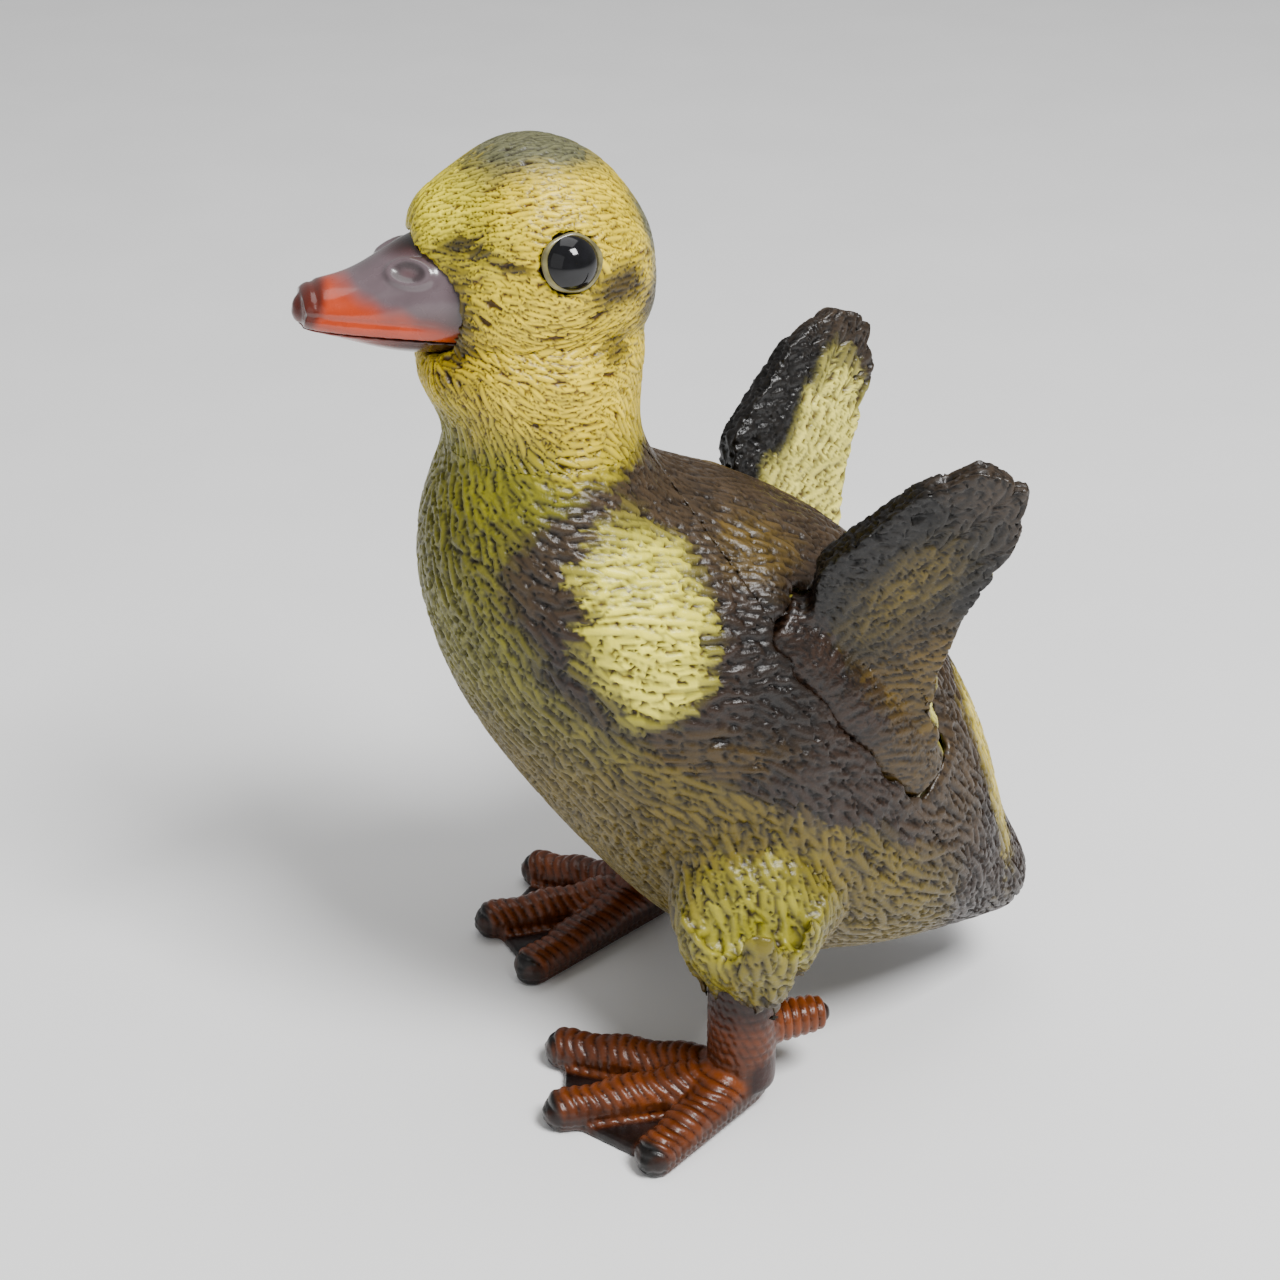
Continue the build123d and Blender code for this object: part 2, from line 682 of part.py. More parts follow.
def foot_solid(side):
    ankle = (side * foot_x, foot_y)
    with BuildPart() as foot:
        for tip in toe_tips:
            add(toe_solid(
                (*ankle, toe_base_radius - sole), toe_base_radius,
                (side * tip[0], tip[1], toe_tip_radius - sole), toe_tip_radius,
            ))
        add(toe_solid(
            (*ankle, hind_toe_tip[2] + 2), hind_toe_radius,
            (side * hind_toe_tip[0], *hind_toe_tip[1:]), hind_toe_radius - 1,
        ))
        with BuildSketch(Plane.XY):
            with BuildLine():
                Polyline(ankle, *((side * x, y) for x, y in toe_tips), close=True)
            make_face()
        extrude(amount=web_thickness)
        with BuildSketch(Plane.XY.offset(toe_base_radius - sole)):
            with Locations(ankle):
                Circle(shank_radius)
        extrude(amount=shank_top - toe_base_radius + sole)
        add(below(0), mode=Mode.SUBTRACT)
        with BuildSketch(Plane.XY.offset(leg_pin_foot)):
            with Locations(ankle):
                Circle(leg_pin_radius)
        extrude(amount=leg_pin_top, mode=Mode.SUBTRACT)
    return foot.part


for side, name in ((1, "left"), (-1, "right")):
    save(foot_solid(side), f"foot_{name}")
    with BuildPart() as leg_pin:
        with BuildSketch(Plane.XY.offset(leg_pin_foot)):
            with Locations((side * foot_x, foot_y)):
                Circle(leg_pin_radius)
        extrude(amount=leg_pin_top - leg_pin_foot)
    save(leg_pin.part, f"leg_pin_{name}")

# ---------------------------------------------------------------- geared motor
gearbox_top = shelf_top - plate
gearbox_foot = gearbox_top - gearbox_length
motor_x_range = (motor_x - motor_across / 2, motor_x + motor_across / 2)
motor_s_range = (motor_s - motor_deep / 2, motor_s + motor_deep / 2)
shaft_seat = 4.0

with BuildPart() as gearbox:
    add(drive_block(motor_x_range, motor_s_range, (gearbox_foot, gearbox_top)))
    shaft_hole = (gearbox_top - shaft_seat, gearbox_top)
    add(drive_rod(motor_shaft_radius + running_gap, motor_x, motor_s, shaft_hole),
        mode=Mode.SUBTRACT)
    for x in motor_screw_x:
        add(drive_rod(screw_radius, x, motor_s, (gearbox_top - 4.5, gearbox_top)), mode=Mode.SUBTRACT)
save(gearbox.part, "motor_gearbox")

with BuildPart() as motor_can:
    with BuildSketch(driven(motor_x, motor_s, gearbox_foot - motor_can_length)):
        Circle(motor_across / 2)
        Rectangle(motor_across, motor_deep, mode=Mode.INTERSECT)
    extrude(amount=motor_can_length)
save(motor_can.part, "motor_can")

motor_shaft_span = (gearbox_top - shaft_seat, gear_width / 2 + 0.6)
save(drive_rod(motor_shaft_radius, motor_x, motor_s, motor_shaft_span), "motor_shaft")
save(gear_solid(wing_teeth, motor_x, motor_s, pinion_turn, motor_shaft_radius), "motor_pinion")

motor_screws = [
    screw_solid(driven(x, motor_s, shelf_top), plate + 4.0, screw_head - 0.2) for x in motor_screw_x
]
save(Compound(children=motor_screws), "motor_screws")
frame_screws = [
    screw_solid(
        Plane(
            drive_plane.from_local_coords((side * post_x, frame_front + plate, v)),
            z_dir=drive_plane.y_dir,
        ),
        plate + 8.0,
    )
    for side in (1, -1)
    for v in post_v
]
save(Compound(children=frame_screws), "frame_screws")

# ---------------------------------------------------------------- battery bay
roof_y = (switch_at[1] - switch_size[1] / 2 - 0.5, switch_at[1] + switch_size[1] / 2 + 0.5)
board_z = (tray_top + 1.2, tray_top + 2.4)
board_x = 11.5
board_y = (12.0, 44.0)
tab_y = (tray_y[0] + tray_wall, tray_y[0] + tray_wall + 0.5)
switch_lead_feet = [(-21.0, 20.5), (-21.0, 29.5)]
board_holes = [(x, y) for x in (-board_x + 2.5, board_x - 2.5) for y in (board_y[0] + 2.5, board_y[1] - 2.5)]

with BuildPart() as battery_tray:
    add(block((-tray_x, tray_x), tray_y, tray_z))
    add(block((switch_at[0] - switch_size[0] / 2, -tray_x + 1), roof_y, (tray_top - tray_wall, tray_top)))
    inside_x = tray_x - tray_wall
    add(
        block(
            (-inside_x, inside_x), (tray_y[0] + tray_wall, tray_y[1] - tray_wall), (0, tray_top - tray_wall),
        ),
        mode=Mode.SUBTRACT,
    )
    add(trunk_inner, mode=Mode.INTERSECT)
    for x in (-cell_pitch / 2, cell_pitch / 2):
        slot = block((x - 1.2, x + 1.2), (tab_y[0] - 0.3, tab_y[1] + 0.3), (tray_top - 3, tray_top))
        add(slot, mode=Mode.SUBTRACT)
    for x, y in switch_lead_feet:
        with Locations((x, y, tray_top)):
            Cylinder(lead_radius + 0.5, 2 * tray_wall + 0.2, mode=Mode.SUBTRACT)
    with BuildSketch(Plane.XY.offset(tray_top)):
        with Locations(*board_holes):
            Circle(2.0)
    extrude(amount=board_z[0] - tray_top)
    with BuildSketch(Plane.XY.offset(board_z[0])):
        with Locations(*board_holes):
            Circle(0.8)
    extrude(amount=-3.0, mode=Mode.SUBTRACT)
save(battery_tray.part, "battery_tray")

cell_front = tray_y[0] + tray_wall + 0.5
cells = []
contacts = []
springs = []
for x in (-cell_pitch / 2, cell_pitch / 2):
    with BuildPart() as cell:
        with BuildSketch(Plane.XZ.offset(-cell_front - 1.0)):
            with Locations((x, cell_height)):
                Circle(cell_radius)
        extrude(amount=-(cell_length - 1.0))
        with BuildSketch(Plane.XZ.offset(-cell_front)):
            with Locations((x, cell_height)):
                Circle(1.9)
        extrude(amount=-1.0)
    cells.append(cell.part)
    with BuildPart() as contact:
        add(block((x - 4, x + 4), tab_y, (cell_height - 4, cell_height + 4)))
        add(block((x - 0.8, x + 0.8), tab_y, (cell_height, board_z[1])))
    contacts.append(contact.part)
    with BuildPart() as spring:
        with BuildSketch(Plane.XZ.offset(-(cell_front + cell_length))):
            with Locations((x, cell_height)):
                Circle(3.6)
                Circle(2.8, mode=Mode.SUBTRACT)
        extrude(amount=-(tray_y[1] - tray_wall - cell_front - cell_length))
    springs.append(spring.part)
save(Compound(children=cells), "cells")
save(Compound(children=contacts), "cell_contacts")
save(Compound(children=springs), "contact_springs")

with BuildPart() as battery_door:
    add(trunk_outer)
    add(trunk_inner, mode=Mode.SUBTRACT)
    door_half = door_x - door_gap
    rear_edge = hinge_at[0] - hinge_radius - 0.9
    add(block((-door_half, door_half), (door_y[0] + door_gap, rear_edge), door_z), mode=Mode.INTERSECT)
    add(hinge_rod(hinge_radius, hinge_length / 2))
    strap_z = (hinge_at[1] - 1.2, hinge_at[1] + 1.0)
    add(block((-hinge_length / 2, hinge_length / 2), (rear_edge - 1.5, hinge_at[0]), strap_z))
    add(hinge_rod(hinge_pin_radius + running_gap, hinge_length), mode=Mode.SUBTRACT)
save(battery_door.part, "battery_door")
save(hinge_rod(hinge_pin_radius, hinge_length / 2 + hinge_pin_grip), "door_hinge_pin")

# ---------------------------------------------------------------- switch and control board
switch_x = (switch_at[0] - switch_size[0] / 2, switch_at[0] + switch_size[0] / 2)
switch_y = (switch_at[1] - switch_size[1] / 2, switch_at[1] + switch_size[1] / 2)
knob_x = (switch_at[0] - knob_size[0] / 2, switch_at[0] + knob_size[0] / 2)
knob_y = (switch_at[1] - knob_size[1] / 2, switch_at[1] + knob_size[1] / 2)
with BuildPart() as switch_case:
    add(block(switch_x, switch_y, switch_z))
    add(knob_slot((switch_z[0], switch_z[0] + 2.5)), mode=Mode.SUBTRACT)
save(switch_case.part, "switch_case")
save(block(knob_x, knob_y, (knob_foot, switch_z[0] + 2.2)), "switch_knob")

with BuildPart() as board:
    add(block((-board_x, board_x), board_y, board_z))
    with BuildSketch(Plane.XY.offset(board_z[0])):
        with Locations(*board_holes):
            Circle(0.9)
    extrude(amount=board_z[1] - board_z[0], mode=Mode.SUBTRACT)
save(board.part, "control_board")
with BuildPart() as board_chips:
    chips = (((-5, 1), (20, 28), 1.6), ((4, 9), (18, 22), 2.4), ((-9, -5), (32, 37), 2.0))  # X, Y, height
    for x_range, y_range, height in chips:
        add(block(x_range, y_range, (board_z[1], board_z[1] + height)))
save(board_chips.part, "board_chips")
board_screws = [
    screw_solid(Plane((x, y, board_z[1])), board_z[1] - board_z[0] + 3.0, 0.9, 0.8, 1.6)
    for x, y in board_holes
]
save(Compound(children=board_screws), "board_screws")


def lead_solid(points, leave, arrive):
    """Insulated lead along a smooth path with set directions at its ends."""
    with BuildPart() as lead:
        with BuildLine() as path:
            Spline(*points, tangents=(leave, arrive))
        with BuildSketch(Plane(path.line @ 0, z_dir=path.line % 0)):
            Circle(lead_radius)
        sweep()
    return lead.part


board_middle = (board_z[0] + board_z[1]) / 2
can_foot = drive_plane.from_local_coords((motor_x, motor_s, gearbox_foot - motor_can_length))
motor_leads = [
    lead_solid(
        [(motor_x + shift, 38.0, board_z[1]), can_foot + Vector(shift, 0, 0)], (0, 0, 1), drive_plane.z_dir
    )
    for shift in (-2.5, 2.5)
]
battery_leads = [
    lead_solid([(x, tab_y[1], board_middle), (x, board_y[0], board_middle)], (0, 1, 0), (0, 1, 0))
    for x in (-cell_pitch / 2, cell_pitch / 2)
]
switch_leads = [
    lead_solid(
        [(x, y, switch_z[1]), (x, y, board_middle - 1), (-board_x, y, board_middle)], (0, 0, 1), (1, 0, 0)
    )
    for x, y in switch_lead_feet
]
named_leads = ((motor_leads, "motor_leads"), (battery_leads, "battery_leads"), (switch_leads, "switch_leads"))
for leads, name in named_leads:
    save(Compound(children=leads), name)
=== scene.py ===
import json
import math

import bmesh
import bpy
import numpy as np
from mathutils import Matrix, Vector, kdtree
from mathutils.bvhtree import BVHTree


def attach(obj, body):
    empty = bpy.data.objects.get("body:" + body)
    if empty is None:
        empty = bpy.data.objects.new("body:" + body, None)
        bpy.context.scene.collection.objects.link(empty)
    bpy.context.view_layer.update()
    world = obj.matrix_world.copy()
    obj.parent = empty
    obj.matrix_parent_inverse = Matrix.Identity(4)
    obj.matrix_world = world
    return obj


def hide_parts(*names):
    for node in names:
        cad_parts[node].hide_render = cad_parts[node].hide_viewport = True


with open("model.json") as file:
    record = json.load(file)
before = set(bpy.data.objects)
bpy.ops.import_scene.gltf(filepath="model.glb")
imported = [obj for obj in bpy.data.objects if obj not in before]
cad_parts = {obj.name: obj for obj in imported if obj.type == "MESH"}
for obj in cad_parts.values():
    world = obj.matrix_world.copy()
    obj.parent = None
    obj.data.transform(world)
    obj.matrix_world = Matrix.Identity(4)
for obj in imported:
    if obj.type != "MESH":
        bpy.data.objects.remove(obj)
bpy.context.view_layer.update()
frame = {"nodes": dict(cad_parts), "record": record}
nodes = frame["nodes"]
root = "decoy"
mm = 0.001

# colours of the paints, as the tubes are mixed (sRGB), and one painted sheen for the bill
paints = {
    "headYellow": (0.80, 0.70, 0.06),
    "headPale": (0.82, 0.78, 0.14),
    "neckOlive": (0.42, 0.41, 0.04),
    "breast": (0.38, 0.37, 0.07),
    "belly": (0.33, 0.28, 0.06),
    "thighCream": (0.56, 0.54, 0.15),
    "patch": (0.82, 0.79, 0.26),
    "darkBrown": (0.13, 0.08, 0.045),
    "backBrown": (0.21, 0.16, 0.10),
    "blackBrown": (0.055, 0.042, 0.032),
    "crown": (0.34, 0.34, 0.24),
    "tan": (0.32, 0.25, 0.06),
    "rumpCream": (0.72, 0.65, 0.26),
    "wingOlive": (0.30, 0.25, 0.05),
    "wingCream": (0.79, 0.76, 0.36),
    "wingTip": (0.19, 0.15, 0.11),
    "billPurple": (0.27, 0.10, 0.09),
    # painted sheen: pale grey that stands in for light glinting on the bill
    "billPaintedSheen": (0.40, 0.35, 0.37),
    "billOrange": (0.68, 0.21, 0.01),
    "billRed": (0.25, 0.055, 0.015),
    "billDark": (0.08, 0.035, 0.03),
    "footOrange": (0.40, 0.19, 0.04),
    "footRed": (0.22, 0.09, 0.03),
    "footDark": (0.07, 0.035, 0.025),
    "web": (0.09, 0.05, 0.05),
    "nail": (0.04, 0.025, 0.02),
}


def linear(colour):
    return np.array([c / 12.92 if c <= 0.04045 else ((c + 0.055) / 1.055) ** 2.4 for c in colour])


paints = {name: linear(colour) for name, colour in paints.items()}


def softStep(value, start, end):
    t = np.clip((value - start) / (end - start), 0, 1)
    return t * t * (3 - 2 * t)


def blob(points, centre, radii, edge=0.3):
    away = np.sqrt((((points - np.array(centre)) / np.array(radii)) ** 2).sum(-1))
    return 1 - softStep(away, 1 - edge, 1 + edge)


def mixIn(base, paint, mask):
    return base + (paints[paint] - base) * mask[..., None]


def unit(vectors):
    return vectors / np.maximum(np.linalg.norm(vectors, axis=-1, keepdims=True), 1e-9)


def wave(points, size, seed):
    # smooth wandering value between -1 and 1, from a few crossed sine waves
    rng = np.random.default_rng(seed)
    total = np.zeros(points.shape[:-1])
    for _ in range(6):
        direction = unit(rng.normal(size=3))
        wavelength = size * rng.uniform(0.7, 1.5)
        total += np.sin(points @ direction * 2 * math.pi / wavelength + rng.uniform(0, 6.3))
    return total / 3.2


def newObject(name, mesh):
    obj = bpy.data.objects.new(name, mesh)
    bpy.context.scene.collection.objects.link(obj)
    return obj


def bmToObject(name, bm):
    mesh = bpy.data.meshes.new(name)
    bm.to_mesh(mesh)
    bm.free()
    for face in mesh.polygons:
        face.use_smooth = True
    return newObject(name, mesh)


def evenCopy(name, nodeNames, voxel, addMore=None):
    # one evenly meshed copy of CAD nodes, ready to be carved
    bm = bmesh.new()
    for node in nodeNames:
        bm.from_mesh(nodes[node].data)
    bmesh.ops.remove_doubles(bm, verts=bm.verts, dist=1e-6)
    if addMore is not None:
        addMore(bm)
    obj = bmToObject(name, bm)
    remesh = obj.modifiers.new("even", "REMESH")
    remesh.mode = "VOXEL"
    remesh.voxel_size = voxel * mm
    remesh.use_smooth_shade = True
    evaluated = obj.evaluated_get(bpy.context.evaluated_depsgraph_get())
    mesh = bpy.data.meshes.new_from_object(evaluated)
    old = obj.data
    obj.modifiers.clear()
    obj.data = mesh
    bpy.data.meshes.remove(old)
    mesh.materials.clear()
    return obj


def readPoints(obj):
    mesh = obj.data
    points = np.empty(len(mesh.vertices) * 3)
    mesh.vertices.foreach_get("co", points)
    normals = np.empty(len(mesh.vertices) * 3)
    mesh.vertices.foreach_get("normal", normals)
    return points.reshape(-1, 3) / mm, normals.reshape(-1, 3)


def writePoints(obj, points):
    obj.data.vertices.foreach_set("co", (points * mm).ravel())
    obj.data.update()


def smoothMesh(obj, rounds, factor=0.5, chosen=None):
    bm = bmesh.new()
    bm.from_mesh(obj.data)
    verts = list(bm.verts) if chosen is None else [v for v in bm.verts if chosen[v.index]]
    for _ in range(rounds):
        bmesh.ops.smooth_vert(bm, verts=verts, factor=factor,
                              use_axis_x=True, use_axis_y=True, use_axis_z=True)
    bm.to_mesh(obj.data)
    bm.free()
    obj.data.update()


def subdivideWhere(obj, chosen):
    bm = bmesh.new()
    bm.from_mesh(obj.data)
    edges = {e for f in bm.faces if all(chosen[v.index] for v in f.verts) for e in f.edges}
    bmesh.ops.subdivide_edges(bm, edges=list(edges), cuts=1, use_grid_fill=True)
    bmesh.ops.triangulate(bm, faces=[f for f in bm.faces if len(f.verts) > 4])
    for face in bm.faces:
        face.smooth = True
    bm.to_mesh(obj.data)
    bm.free()
    obj.data.update()


def surfaceTree(obj):
    points, _ = readPoints(obj)
    return BVHTree.FromPolygons([Vector(p) for p in points], [list(f.vertices) for f in obj.data.polygons])


def openSky(obj, tree, reach=300.0):
    # true where a point looks out into free space, false inside the hollow
    points, normals = readPoints(obj)
    free = np.zeros(len(points), bool)
    for k, (p, n) in enumerate(zip(points, normals)):
        start, out = Vector(p + n * 0.3), Vector(n)
        tilt = out.orthogonal().normalized()
        for ray in (out, out + tilt * 0.9, out - tilt * 0.9):
            if tree.ray_cast(start, ray, reach)[0] is None:
                free[k] = True
                break
    return free


def keepSide(obj, name, planes):
    # the closed part of a copy that lies on the positive side of every plane (point, normal)
    bm = bmesh.new()
    bm.from_mesh(obj.data)
    for point, normal in planes:
        geom = bm.verts[:] + bm.edges[:] + bm.faces[:]
        cut = bmesh.ops.bisect_plane(bm, geom=geom, dist=1e-7, clear_inner=True, clear_outer=False,
                                     plane_co=[c * mm for c in point], plane_no=normal)
        rim = [e for e in cut["geom_cut"] if isinstance(e, bmesh.types.BMEdge)]
        bmesh.ops.triangle_fill(bm, edges=rim, use_beauty=True, use_dissolve=False,
                                normal=[-c for c in normal])
    bmesh.ops.recalc_face_normals(bm, faces=bm.faces)
    return bmToObject(name, bm)


def paintOn(obj, colour, relief):
    mesh = obj.data
    layer = mesh.color_attributes.new("paint", "FLOAT_COLOR", "POINT")
    rgba = np.ones((len(mesh.vertices), 4))
    rgba[:, :3] = np.clip(colour, 0, 1)
    layer.data.foreach_set("color", rgba.ravel())
    height = mesh.attributes.new("relief", "FLOAT", "POINT")
    height.data.foreach_set("value", relief)


# places on the bird, in millimetres
bird = {
    "headCentre": (0, -29.5, 158.4),
    "eye": (17.6, -26.5, 163.5),
    "wingAxis": (23.5, 20.5, 80.0),
    "wingLean": 40.0,
    "wingSplay": 20.5,
    "barrelMiddle": (-1.5, 23.5),  # middle and half length along the wing shaft
    "barrelRadius": 10.3,
    "barrelEnd": 7.4,
    "socketGap": 0.3,
}
lean = math.radians(bird["wingLean"])
shaftDir = np.array([0, -math.sin(lean), math.cos(lean)])
backDir = np.array([0, math.cos(lean), math.sin(lean)])


def toDrive(points, side):
    # x from the shaft, s to the back, v up the shaft
    away = points - np.array([side * bird["wingAxis"][0], *bird["wingAxis"][1:]])
    return away[..., 0] * side, away @ backDir, away @ shaftDir


# soft pushes of the surface, each (centre, radius, height), mirrored on both sides
forms = [
    ((13, -37, 149.5), 11, 1.5),  # cheek
    ((12, -28, 146), 9, 0.8),
    ((15, -36, 169), 8, 0.7),  # brow over the eye
    ((18.5, -37, 161.5), 5, -1.0),  # hollow before the eye
    ((18.5, -17, 160), 6, -0.6),  # hollow behind the eye
    ((8, -47, 168), 7, 0.6),
    ((9, -45, 141), 7, 1.2),  # chin
    ((30, -20, 103), 20, 1.6),  # shoulder patch stands up
    ((22, 10, 109), 9, 1.2),
    ((37, 8, 72), 14, 1.0),
    ((30, -8, 118), 10, -1.0),
    ((0, 62, 24), 10, -0.4),
]


def pushForms(points, normals, forms, hold=None):
    mirrored = points.copy()
    mirrored[:, 0] = np.abs(mirrored[:, 0])
    amount = np.zeros(len(points))
    for centre, radius, height in forms:
        away = np.linalg.norm(mirrored - np.array(centre), axis=1) / radius
        amount += height * (1 - softStep(away, 0, 1.0))
    if hold is not None:
        amount *= hold
    return points + normals * amount[:, None]


def keepClear(points):
    # skin stays off the wing roots and their sockets
    for side in (1, -1):
        across, back, up = toDrive(points, side)
        middle, half = bird["barrelMiddle"]
        t = np.clip(np.abs(up - middle) / half, 0, 1.05)
        limit = bird["barrelRadius"] - (bird["barrelRadius"] - bird["barrelEnd"]) * t ** 2 + bird["socketGap"]
        reach = np.hypot(across, back)
        inside = (reach < limit) & (np.abs(up - middle) < half + 0.6)
        grow = np.where(inside, limit / np.maximum(reach, 1e-6) - 1, 0)
        shift = np.stack([across * side, back * backDir[1], back * backDir[2]], 1) * grow[:, None]
        points = points + np.where(inside[:, None], shift, 0)
    return points


def plumageFlow(points, normals):
    side = np.sign(points[:, :1])
    y, z = points[:, 1], points[:, 2]
    head = softStep(z, 131, 146)[:, None]
    fromBill = unit(points - np.array([0, -58, 157]))
    front = softStep(-normals[:, 1], 0.2, 0.9)[:, None]
    body = np.concatenate([side * 0.7 * front, 0.95 - 0.9 * front, -0.22 - 0.75 * front], 1)
    throat = (softStep(z, 108, 132) * softStep(-y, 22, 40))[:, None]
    body = body * (1 - throat) + np.concatenate([side * 0.35, 0.1 + 0 * side, -1 + 0 * side], 1) * throat
    nape = (softStep(z, 112, 132) * softStep(y, -26, -12))[:, None]
    body = body * (1 - nape) + np.array([0, 0.6, -0.8]) * nape
    low = (softStep(-z, -80, -52) * softStep(-y, -48, -22))[:, None]
    body = body * (1 - low) + np.concatenate([side * 0.12, 0.38 + 0 * side, -0.92 + 0 * side], 1) * low
    rump = (softStep(y, 34, 50))[:, None]
    body = body * (1 - rump) + np.array([0, 0.6, -0.8]) * rump
    under = softStep(-normals[:, 2], 0.5, 0.9)[:, None] * (1 - head)
    body = body * (1 - under) + np.array([0, 1.0, -0.1]) * under
    flow = fromBill * head + body * (1 - head)
    turn = wave(points, 26, 4) * 0.34
    flow = flow - (flow * normals).sum(1, keepdims=True) * normals
    flow = unit(flow)
    cross = np.cross(normals, flow)
    return unit(flow * np.cos(turn)[:, None] + cross * np.sin(turn)[:, None])


def plumagePaint(points):
    p = points.copy()
    p[:, 0] = np.abs(p[:, 0])
    p = p + np.stack([0 * p[:, 0], wave(points, 9, 7) * 1.3, wave(points, 11, 8) * 1.3], 1)
    x, y, z = p[:, 0], p[:, 1], p[:, 2]
    colour = np.tile(paints["breast"], (len(p), 1))
    colour = mixIn(colour, "belly", softStep(-z, -98, -66))
    colour = mixIn(colour, "neckOlive", softStep(z, 108, 124) * 0.9)
    colour = mixIn(colour, "headYellow", softStep(z - 0.35 * np.maximum(-y - 26, 0), 122, 136))
    colour = mixIn(colour, "headPale", softStep(z, 150, 170) * softStep(-y, 30, 44) * 0.7)
    # dark saddle: behind a line that falls from the nape over the breast to the flank
    heights = [44, 54, 64, 76, 84, 92, 103, 114, 121, 128]
    lineY = np.interp(z, heights, [44, 30, 8, -13, -27, -35, -40, -40, -29, -15])
    saddle = softStep(y - lineY, -4, 5) * (1 - softStep(z, 123, 131))
    lowEdge = softStep(x, 10, 18) + softStep(y, 20, 34)
    colour = mixIn(colour, "darkBrown", saddle * np.clip(lowEdge + softStep(z, 84, 104), 0, 1))
    colour = mixIn(colour, "backBrown", saddle * softStep(z - 0.25 * x, 88, 108))
    colour = mixIn(colour, "tan", blob(p, (25, 9, 110), (13, 9, 6), 0.5) * 0.85)
    colour = mixIn(colour, "blackBrown", blob(p, (35, 9, 98), (9, 9, 22), 0.5) * 0.6)
    colour = mixIn(colour, "tan", blob(p, (35, -6, 77), (12, 12, 4.5), 0.6) * 0.45)
    colour = mixIn(colour, "patch", blob(p, (33, -16.5, 103), (16, 10.5, 17), 0.32))
    # rump: dark side, cream stripe along the edge of the back, dark tail
    colour = mixIn(colour, "backBrown", blob(p, (22, 42, 62), (14, 11, 24), 0.4))
    colour = mixIn(colour, "rumpCream", blob(p, (10, 56, 52), (7, 9, 24), 0.4) * softStep(y, 40, 48))
    colour = mixIn(colour, "darkBrown", blob(p, (0, 66, 32), (12, 11, 12), 0.3))
    # crown cap, stripe through the eye, smudges of the face
    colour = mixIn(colour, "crown", softStep(z - 0.12 * x, 172.5, 178) * softStep(-x, -17, -11))
    capBack = softStep(y, -16, -9) * softStep(z, 138, 150) * softStep(-x, -12, -6)
    colour = mixIn(colour, "crown", capBack)
    colour = mixIn(colour, "darkBrown", blob(p, (12, -42, 164.6), (5, 7, 1.7), 0.6) * 0.9)
    colour = mixIn(colour, "darkBrown", blob(p, (17, -34, 163.6), (5, 5, 1.5), 0.6) * 0.85)
    colour = mixIn(colour, "darkBrown", blob(p, (18, -16, 158.5), (6, 7, 2.6), 0.6) * 0.95)
    colour = mixIn(colour, "darkBrown", blob(p, (13, -9, 153), (7, 5, 4.5), 0.6) * 0.9)
    colour = mixIn(colour, "darkBrown", blob(p, (17, -16, 147.5), (5, 3, 3), 0.6) * 0.8)
    colour = mixIn(colour, "darkBrown", blob(p, (10.5, -43.5, 153), (4, 3.6, 11), 0.5) * 0.9)
    colour = mixIn(colour, "darkBrown", blob(p, (7, -42, 141.5), (9, 5, 3), 0.6) * 0.8)
    # pale tufts of the thigh over the shank
    colour = mixIn(colour, "thighCream", blob(p, (38, 2, 42), (9, 13, 12), 0.5) * 0.8)
    colour = mixIn(colour, "darkBrown", blob(p, (34, 2, 25), (14, 14, 5), 0.5) * 0.8)
    return colour


def plantStrokes(points, normals, flowOf, lookOf, seed):
    # knife strokes laid over each other like shingles: each has a root, a lie and a level of its own
    rng = np.random.default_rng(seed)
    look = lookOf(points)
    order = rng.permutation(len(points))
    taken, keep = set(), []
    step = look["spacing"]
    for k in order:
        cell = (*np.floor(points[k] / step[k]).astype(int), round(step[k], 1))
        if cell not in taken:
            taken.add(cell)
            keep.append(k)
    keep = np.array(keep)
    count = len(keep)
    at = points[keep] + rng.normal(scale=0.2, size=(count, 3)) * step[keep][:, None]
    facing = normals[keep]
    flow = flowOf(at, facing)
    turn = rng.normal(scale=1, size=count) * look["unruly"][keep]
    flow = flow * np.cos(turn)[:, None] + np.cross(facing, flow) * np.sin(turn)[:, None]
    tree = kdtree.KDTree(count)
    for k, p in enumerate(at):
        tree.insert(p, k)
    tree.balance()
    return {
        "tree": tree, "at": at, "flow": flow, "cross": np.cross(facing, flow),
        "long": look["length"][keep] * rng.uniform(0.75, 1.3, count) / 2,
        "wide": look["width"][keep] * rng.uniform(0.75, 1.3, count) / 2,
        "depth": look["depth"][keep],
        "level": rng.uniform(0, 1, count),
        "bend": rng.normal(scale=0.3, size=count),
        "tone": rng.uniform(0.78, 1.18, (count, 1)),
    }


